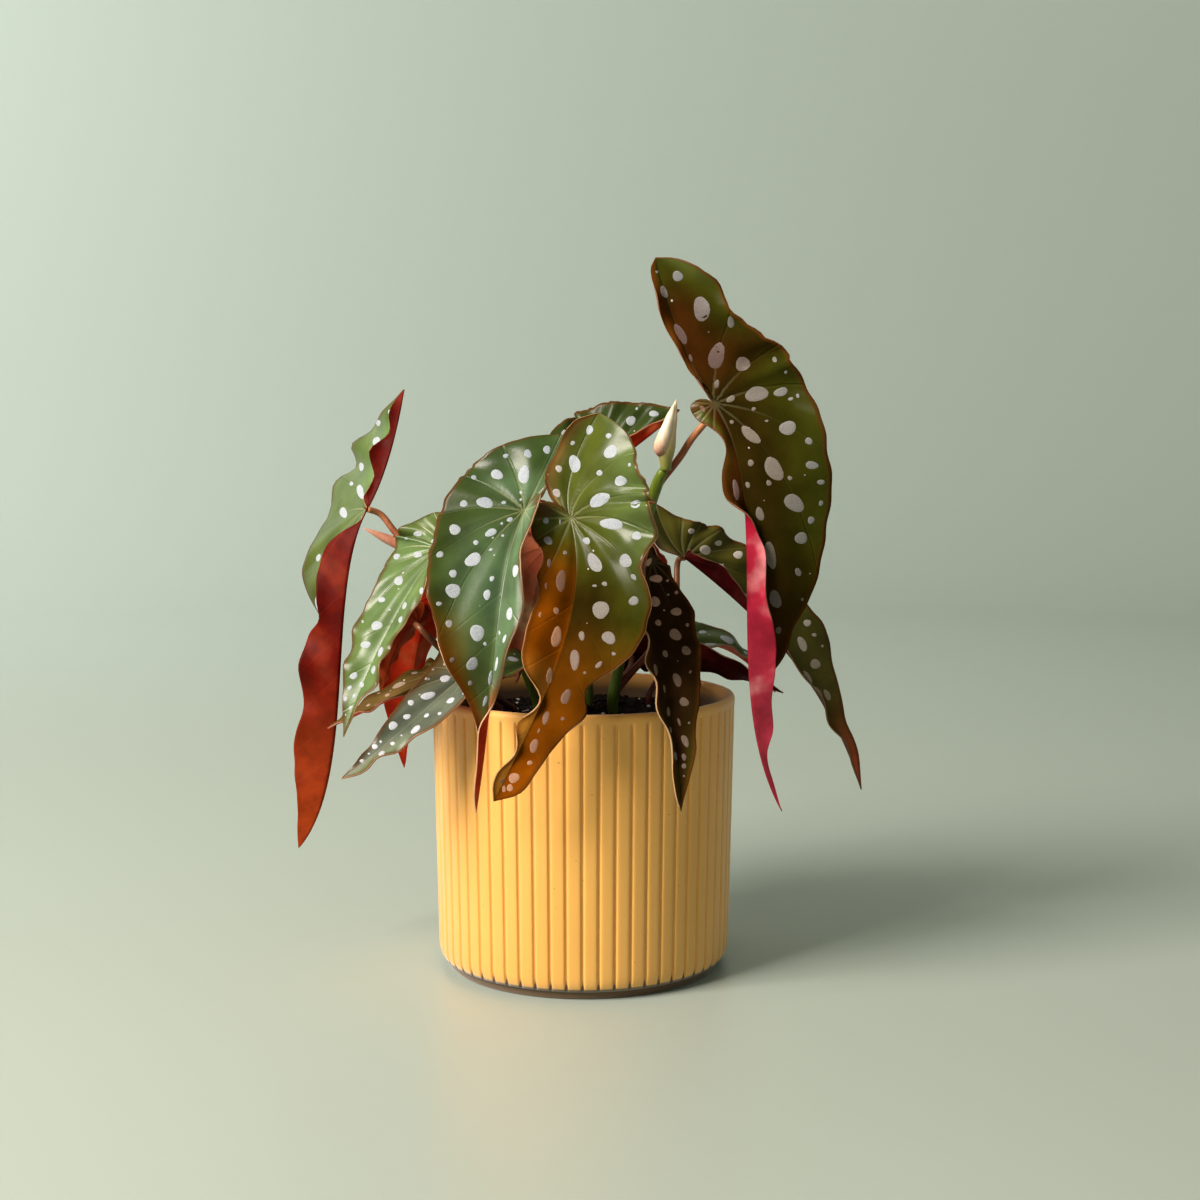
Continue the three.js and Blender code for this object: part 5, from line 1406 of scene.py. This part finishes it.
# A point that falls beside the blade moves towards the spot's middle by these steps.
SPOT_SHRINKS = (1, 0.92, 0.84, 0.7, 0.5, 0.3, 0)
# Seeded spots: how many are tried, their least and greatest length, and the gap between two, in mm.
SCATTERED = ((90, (5.0, 9.0), 15), (260, (2.2, 3.8), 8))


def sight(x, y):
    """The direction in which the camera sees a pixel of the photograph."""
    away = FRAME_PIXELS * CAMERA_LENS / camera_data.sensor_width
    line = Vector((x - FRAME_PIXELS / 2, FRAME_PIXELS / 2 - y, -away))
    return camera.rotation_euler.to_matrix() @ line.normalized()


def seen_blade(leaf, x, y):
    """Where the line of sight first meets the upper face of a leaf: place, normal and face."""
    start, line = Vector(CAMERA_PLACE), sight(x, y)
    for _ in range(MOST_HITS):
        place, normal, index, _ = sheets[leaf.name].ray_cast(start, line)
        if place is None:
            return None
        if normal.dot(line) < 0:
            return place, normal, index
        start = place + line * MM
    return None


def hidden(leaf, x, y):
    """Whether the photograph doesn't show the upper face at a place of the flat leaf."""
    start = leaf.at_flat(x, y, 1) * MM
    line = Vector(CAMERA_PLACE) - start
    return any(sheet.ray_cast(start, line)[0] is not None for sheet in sheets.values())


# %% Spots
def oval(chance):
    """The outline of one uneven oval, as a function of the angle round it."""
    a, b = chance.uniform(0, 2 * math.pi), chance.uniform(0, 2 * math.pi)
    return lambda angle: 1 + 0.07 * math.sin(2 * angle + a) + 0.05 * math.sin(3 * angle + b)


def add_spot(bm, layer, tone, spot, rough, find):
    """One spot: find(x, y, above) gives the place on the blade, or None beside it."""
    x, y, long, short, turn = spot
    c, s = math.cos(math.radians(turn)), math.sin(math.radians(turn))

    def place(i, j):
        angle = 2 * math.pi * i / SPOT_TURNS
        share, above = SPOT_ROWS[j]
        p = share * rough(angle) * math.cos(angle) * long / 2
        q = share * rough(angle) * math.sin(angle) * short / 2
        for shrink in SPOT_SHRINKS:
            here = find(x + (p * c - q * s) * shrink, y + (p * s + q * c) * shrink, above)
            if here is not None:
                return here

    for corner in corners_of(grid(bm, SPOT_TURNS, len(SPOT_ROWS) - 1, place)):
        corner[layer] = tone


def add_seen_spot(bm, layer, leaf, spot, chance):
    """A spot of the photograph; returns its place and length on the flat leaf in millimetres."""
    x, y, long, short, turn = spot
    middle = seen_blade(leaf, x, y)
    if middle is None:
        return None
    corners, flats = sheet_faces[leaf.name][middle[2]]
    flat = sum((f * k for f, k in zip(flats, poly_3d_calc(corners, middle[0]))), Vector((0, 0)))
    away = (middle[0] - Vector(CAMERA_PLACE)).length
    size = long / FRAME_PIXELS * camera_data.sensor_width / CAMERA_LENS * away

    def find(px, py, above):
        hit = seen_blade(leaf, px, py)
        if hit is None or (hit[0] - middle[0]).length > size * NEAR_SPOT:
            return None
        return hit[0] + hit[1] * (BLADE / 2 + above) * MM

    # Pixels count downwards, so a turn that was read off changes its sign.
    add_spot(bm, layer, flat_tone(leaf, *flat), (x, y, long, short, -turn), oval(chance), find)
    return flat.x, flat.y, size / MM


def flat_tone(leaf, x, y):
    """The colour of a spot at a place of the flat leaf."""
    half = half_at(x, y)
    u = leaf.station(x)
    return tone_at(leaf, half, u, clamp(abs(y) / max(leaf.width(half, u), 1)), 1)


def scatter(leaf, chance, spots):
    """Seeded spots for the parts that the photograph doesn't show; adds their places to spots."""
    fresh = []
    for count, sizes, gap in SCATTERED:
        for _ in range(count):
            x = chance.uniform(-leaf.back_table[-1], leaf.length)
            y = chance.uniform(-leaf.broadest("narrow"), leaf.broadest("wide"))
            size = chance.uniform(*sizes) * (0.7 + 0.3 * clamp(leaf.length / 120))
            # A spot keeps clear of the edge, of the midrib and of its neighbours.
            margin = leaf.width(half_at(x, y), leaf.station(x)) - abs(y)
            if margin < size * 0.6 + 0.8 or abs(y) < size * 0.5 + 1:
                continue
            if any(math.hypot(x - a, y - b) < gap * 0.5 + d * 0.6 for a, b, d in spots):
                continue
            if leaf.name in SPOTS and not hidden(leaf, x, y):
                continue
            spots.append((x, y, size))
            turn = math.degrees(math.atan2(y, x)) * 0.6
            fresh.append((x, y, size, size * chance.uniform(0.65, 0.9), turn))
    return fresh


def make_spots(leaf):
    """Lays the spots of one leaf, and returns how many were read and how many there are in all."""
    chance = random.Random(leaf.name)
    bm, layer = toned_mesh()
    read = [add_seen_spot(bm, layer, leaf, spot, chance) for spot in SPOTS.get(leaf.name, ())]
    spots = [spot for spot in read if spot]
    found = len(spots)

    def find(x, y, above):
        here = leaf.at_flat(x, y, BLADE / 2 + above)
        return here * MM if here else None

    for spot in scatter(leaf, chance, spots):
        add_spot(bm, layer, flat_tone(leaf, *spot[:2]), spot, oval(chance), find)
    close(bm)
    piece = finish_piece(leaf.name.replace("leaf", "spots"), bm, [spot_skin])
    return found, len(spots)


counts = [make_spots(leaf) for leaf in leaves.values()]
found, laid = [sum(column) for column in zip(*counts)]
print("Spots laid:", laid, "of which", found, "were read from the photograph")

# %% [markdown]
# ## Canes and stalks
# A cane begonia stands on smooth green canes with a swollen ring at each joint, and a red-brown
# stalk carries each leaf. Each tube is one grid wrapped round a smooth route, closed by shrinking
# its ends to a point. Its tone runs along it, so it is kept as an attribute of the mesh.

# %% Stem values
ROOT_DEPTH = 12  # how deep a stem stands in the soil
CANE_RADIUS = 2.5
CANE_TOP = 0.9  # a cane's radius at its top, as a share of its radius at the soil
STALK_RADIUS = 1.8
STALK_TOP = 0.75  # the same for a stalk, at its leaf
STALK_ENTRY = 6  # the last stretch of a stalk, which runs square to its leaf
BEZIER_STEPS = 24  # in each gap between two points of a route
ROUTE_STEPS = 60
BRANCH_STEPS = 40
CANE_SIDES = 14
STALK_SIDES = 12
STEM_MERGE = 1e-6  # metres

# A cane's root, the points that it passes, and the stalks that leave it: how far up, as a share of
# the cane, and the points on the way to the leaf.
STEMS = {
    "stem_right": {
        "root": (13, 8), "cane": [(18, 4, 145), (24, -5, 180), (32, -12, 214), (35, -15, 221)],
        "stalks": {"leaf_upper_right": (0.93, (42, -10, 226), (47, -13, 234)),
                   "leaf_right_dark": (0.5, (26, -20, 176)),
                   "leaf_right_back": (0.16, (40, 17, 152))}},
    "stem_left": {
        "root": (-21, 8), "cane": [(-34, 6, 146), (-54, 3, 172), (-66, 2, 182)],
        "stalks": {"leaf_far_left": (0.97, (-82, 2, 191)), "leaf_left_mid": (0.93, (-66, -8, 182)),
                   "leaf_left_back": (0.62, (-46, 2, 184)), "leaf_left_red": (0.45, (-54, 10, 160))}},
    "stem_center": {
        "root": (-4, 12), "cane": [(-6, 8, 140), (-8, -2, 168), (-10, -12, 188)],
        "stalks": {"leaf_front_center": (0.97, (-6, -30, 200)),
                   "leaf_front_left": (0.9, (-18, -26, 200)),
                   "leaf_top_back": (0.75, (2, 8, 200)), "leaf_center_back": (0.55, (-12, 4, 172))}},
    "stem_rear": {
        "root": (2, 34), "cane": [(0, 36, 134), (-6, 38, 150)],
        "stalks": {"leaf_rear_right": (0.9, (4, 40, 168)), "leaf_rear_left": (0.97, (-18, 38, 170)),
                   "leaf_rear_low": (0.6, (-3, 44, 129))}},
}
# Where the other stalks rise from the soil.
SOIL_STALKS = {
    "leaf_left_spotted": (-30, -16), "leaf_left_edge": (-38, -2), "leaf_left_small_red": (-44, 12),
    "leaf_right_low": (14, 28), "leaf_right_rear": (30, 33), "leaf_center_low": (-8, -14),
}


# %% [markdown]
# ### Routes and tubes
# The plain solids run their stems along a centripetal Catmull-Rom curve, which passes through every
# point without a loop. Blender has no centripetal kind, so each gap between two points becomes a
# Bezier with the same handles. The line is then cut into even steps, and a grid is wrapped round it.


# %% Stem routes
def smooth_route(points, count=ROUTE_STEPS):
    """Even points on a smooth line through the given ones."""
    p = [Vector(q) for q in points]
    p = [p[0] * 2 - p[1]] + p + [p[-1] * 2 - p[-2]]
    line = []
    for a, b, c, d in zip(p, p[1:], p[2:], p[3:]):
        before, gap, after = [(q - r).length ** 0.5 for q, r in ((b, a), (c, b), (d, c))]
        out = ((b - a) / before - (c - a) / (before + gap) + (c - b) / gap) * gap
        into = ((c - b) / gap - (d - b) / (gap + after) + (d - c) / after) * gap
        line += geometry.interpolate_bezier(b, b + out / 3, c - into / 3, c, BEZIER_STEPS)[:-1]
    line.append(p[-2])
    far = [0.0]
    for q, r in zip(line, line[1:]):
        far.append(far[-1] + (r - q).length)
    even = []
    for k in range(count + 1):
        goal = far[-1] * k / count
        i = min(max(n for n in range(len(far)) if far[n] <= goal + 1e-9), len(line) - 2)
        even.append(line[i].lerp(line[i + 1], (goal - far[i]) / (far[i + 1] - far[i])))
    return even


def tone_along(tones, t):
    """The colour at t of 0..1 along a row of tones."""
    t = clamp(t) * (len(tones) - 1)
    k = min(int(t), len(tones) - 2)
    return [mix(p, q, t - k) for p, q in zip(linear(tones[k]), linear(tones[k + 1]))]


def add_tube(bm, layer, line, radius_at, tones, turns=CANE_SIDES):
    """Wraps a grid round a line; radius_at takes the share of the way along it."""
    count = len(line) - 1
    side = (line[1] - line[0]).orthogonal().normalized()
    sides = []
    for k in range(count + 1):
        along = (line[min(k + 1, count)] - line[max(k - 1, 0)]).normalized()
        side = (side - along * side.dot(along)).normalized()
        sides.append((side.copy(), along.cross(side)))

    def place(i, j):
        # The first and the last column shrink to a point, which closes the tube.
        k = min(max(i - 1, 0), count)
        radius = 0 if i in (0, count + 2) else radius_at(k / count)
        turn = 2 * math.pi * j / turns
        across, deep = sides[k]
        return (line[k] + (across * math.cos(turn) + deep * math.sin(turn)) * radius) * MM

    verts = grid(bm, count + 2, turns, place)
    columns = count + 3
    share = {vert: clamp((n % columns - 1) / count) for n, vert in enumerate(verts)}
    for corner in corners_of(verts):
        corner[layer] = tone_along(tones, share[corner.vert])


def root_route(x, y):
    """The points of a stem's foot, straight up through its hole in the soil."""
    return [(x, y, SOIL_TOP + z) for z in (-ROOT_DEPTH, -ROOT_DEPTH / 2, 0, 4)]


def stalk_end(name):
    """Where a stalk meets its leaf, and the point that it passes just before."""
    centre, _, up, _ = leaves[name].frame(0)
    end = centre - up * BLADE * 0.3  # inside the blade, just under its middle
    return [end - up * STALK_ENTRY, end]


# %% [markdown]
# ### The skin of canes and stalks
# A living cane has a thin waxy skin with fine streaks along it. Its colour comes from the mesh. The
# streaks are a noise that is stretched along the height, which is nearly the cane's own direction,
# and a soft gloss with a little light under the skin keeps it fresh.


# %% Stem material
def make_stem_skin():
    material, tree, output = new_material("fleshy_stem_skin")
    tone = add_node(tree, "ShaderNodeAttribute", {"attribute_name": "tone"})
    place = add_node(tree, "ShaderNodeTexCoord").outputs["Object"]
    drawn = add_node(tree, "ShaderNodeMapping", {}, {"Vector": place, "Scale": (1.0, 1.0, 0.2)})
    streak = add_node(tree, "ShaderNodeTexNoise", {}, {
        "Vector": drawn, "Scale": 1 / (2 * MM), "Detail": 3.0})
    shade = add_node(tree, "ShaderNodeMapRange", {}, {
        "Value": streak.outputs["Fac"], "From Min": 0.3, "From Max": 0.7, "To Min": 0.8, "To Max": 1.2})
    varied = add_node(tree, "ShaderNodeVectorMath", {"operation": "SCALE"}, {
        0: tone.outputs["Color"], "Scale": shade})
    ridge = add_node(tree, "ShaderNodeBump", {}, {
        "Strength": 0.4, "Distance": 0.15 * MM, "Height": streak.outputs["Fac"]})
    skin = add_node(tree, "ShaderNodeBsdfPrincipled", {}, {
        "Base Color": varied, "Roughness": 0.4, "IOR": 1.45,
        "Subsurface Weight": 0.1, "Subsurface Scale": 1.5 * MM, "Normal": ridge})
    tree.links.new(skin.outputs[0], output.inputs[0])
    return material


CANE_TONES = ["#3c4e12", "#4c6214", "#667a16"]
STALK_TONES = ["#5e2814", "#864626", "#96603a"]
SHADED_STALK_TONES = ["#3c1a10", "#5c2c1a", "#704428"]
LIT_STALK_TONES = ["#7c3c22", "#a4643c", "#b88e54"]
stem_skin = make_stem_skin()


# %% [markdown]
# ### Making the stems
# A cane swells at each joint where a stalk leaves it, and steps in at its top. A stalk is thickest
# at its foot. A cane and its stalks have grown as one, so they are one piece, and a stalk that
# rises from the soil is a piece of its own.


# %% Stems
def stalk_radius(t):
    """A quarter thicker at the foot, and from there a slow taper."""
    foot = 1 + 0.25 * math.exp(-(t / 0.06) ** 2)
    return STALK_RADIUS * mix(1, STALK_TOP, t) * foot


def finish_tubes(bm, name, node):
    close(bm, STEM_MERGE)
    piece = finish_piece(name, bm, [stem_skin])
    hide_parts(node)


def make_stem(name, values):
    bm, layer = toned_mesh()
    line = smooth_route(root_route(*values["root"]) + values["cane"])
    joints = [share for share, *_ in values["stalks"].values()]

    def cane_radius(t):
        # A ring about two steps of the line long swells at each joint.
        swell = sum(math.exp(-((t - joint) * len(line) / 2.2) ** 2) for joint in joints)
        end = 1 if t < 0.985 else 0.75
        return CANE_RADIUS * mix(1, CANE_TOP, t) * (1 + 0.16 * min(swell, 1.2)) * end

    add_tube(bm, layer, line, cane_radius, CANE_TONES)
    for leaf, (share, *via) in values["stalks"].items():
        start = line[round(share * (len(line) - 1))]
        route = smooth_route([start, *via, *stalk_end(leaf)], BRANCH_STEPS)
        tones = LIT_STALK_TONES if leaf == "leaf_upper_right" else STALK_TONES
        add_tube(bm, layer, route, stalk_radius, tones, STALK_SIDES)
    finish_tubes(bm, f"{name}_skin", name)


def make_soil_stalk(leaf, root):
    bm, layer = toned_mesh()
    route = smooth_route(root_route(*root) + stalk_end(leaf))
    add_tube(bm, layer, route, stalk_radius, SHADED_STALK_TONES, STALK_SIDES)
    name = leaf.replace("leaf", "stalk")
    finish_tubes(bm, f"{name}_skin", name)


for name, values in STEMS.items():
    make_stem(name, values)
for leaf, root in SOIL_STALKS.items():
    make_soil_stalk(leaf, root)
print("Stems made:", len(STEMS), "with canes and", len(SOIL_STALKS), "from the soil")

# %% [markdown]
# ## The bud and the bract
# A new leaf of a begonia is wrapped in papery sheaths, cream where they are dry and greenish below.
# The bud is a pointed spindle with a second sheath, the husk, laid over one side. The bract is the
# dry brown-pink sheath of a leaf that has opened. Each is a tube whose radius swells and shrinks
# along a bent line. A lathe could turn it too, but only along a straight line.

# %% Bud
SHEATH_STEPS = 36
SHEATH_SIDES = 16
BUD_LINE = [(35.9, -15.4, 220.6), (35.8, -15.9, 227), (36.8, -17, 237), (38.6, -17.6, 245),
            (40.3, -18, 251)]
HUSK_LINE = [(32.6, -17.0, 226.8), (33.6, -18.2, 231), (36.2, -19.0, 239), (39.4, -18.6, 249)]
BRACT_LINE = [(-68.0, -1.2, 184.2), (-80, -2.6, 187.2), (-97, -5, 195)]
# Pairs of a share of the line and the radius there.
BUD_WIDTHS = [(0, 2.2), (0.12, 2.7), (0.22, 3.5), (0.35, 3.9), (0.55, 3.4), (0.75, 2.5), (0.9, 1.1),
              (1, 0.2)]
HUSK_WIDTHS = [(0, 0.5), (0.05, 1.9), (0.14, 3.0), (0.3, 3.1), (0.6, 2.3), (0.85, 1.2), (1, 0.2)]
BRACT_WIDTHS = [(0, 0.9), (0.2, 2.2), (0.4, 2.6), (0.7, 1.9), (0.9, 0.8), (1, 0.1)]
BUD_TONES = ["#6e7a2a", "#a49a5c", "#c8b48a", "#d8c4a4", "#d0b898"]
HUSK_TONES = ["#a86850", "#d8b89c", "#e4d8bc", "#e8dcc4", "#c8b490"]
BRACT_TONES = ["#8a4a34", "#b07058", "#c08a74"]


def make_sheaths(name, node, sheaths):
    bm, layer = toned_mesh()
    for line, widths, tones in sheaths:
        route = smooth_route(line, SHEATH_STEPS)
        add_tube(bm, layer, route, lambda t: through(widths, t), tones, SHEATH_SIDES)
    finish_tubes(bm, name, node)


make_sheaths("bud_sheath", "bud",
             [(BUD_LINE, BUD_WIDTHS, BUD_TONES), (HUSK_LINE, HUSK_WIDTHS, HUSK_TONES)])
make_sheaths("bract_left_sheath", "bract_left", [(BRACT_LINE, BRACT_WIDTHS, BRACT_TONES)])
print("Bud and bract made")

# %% [markdown]
# ## The end
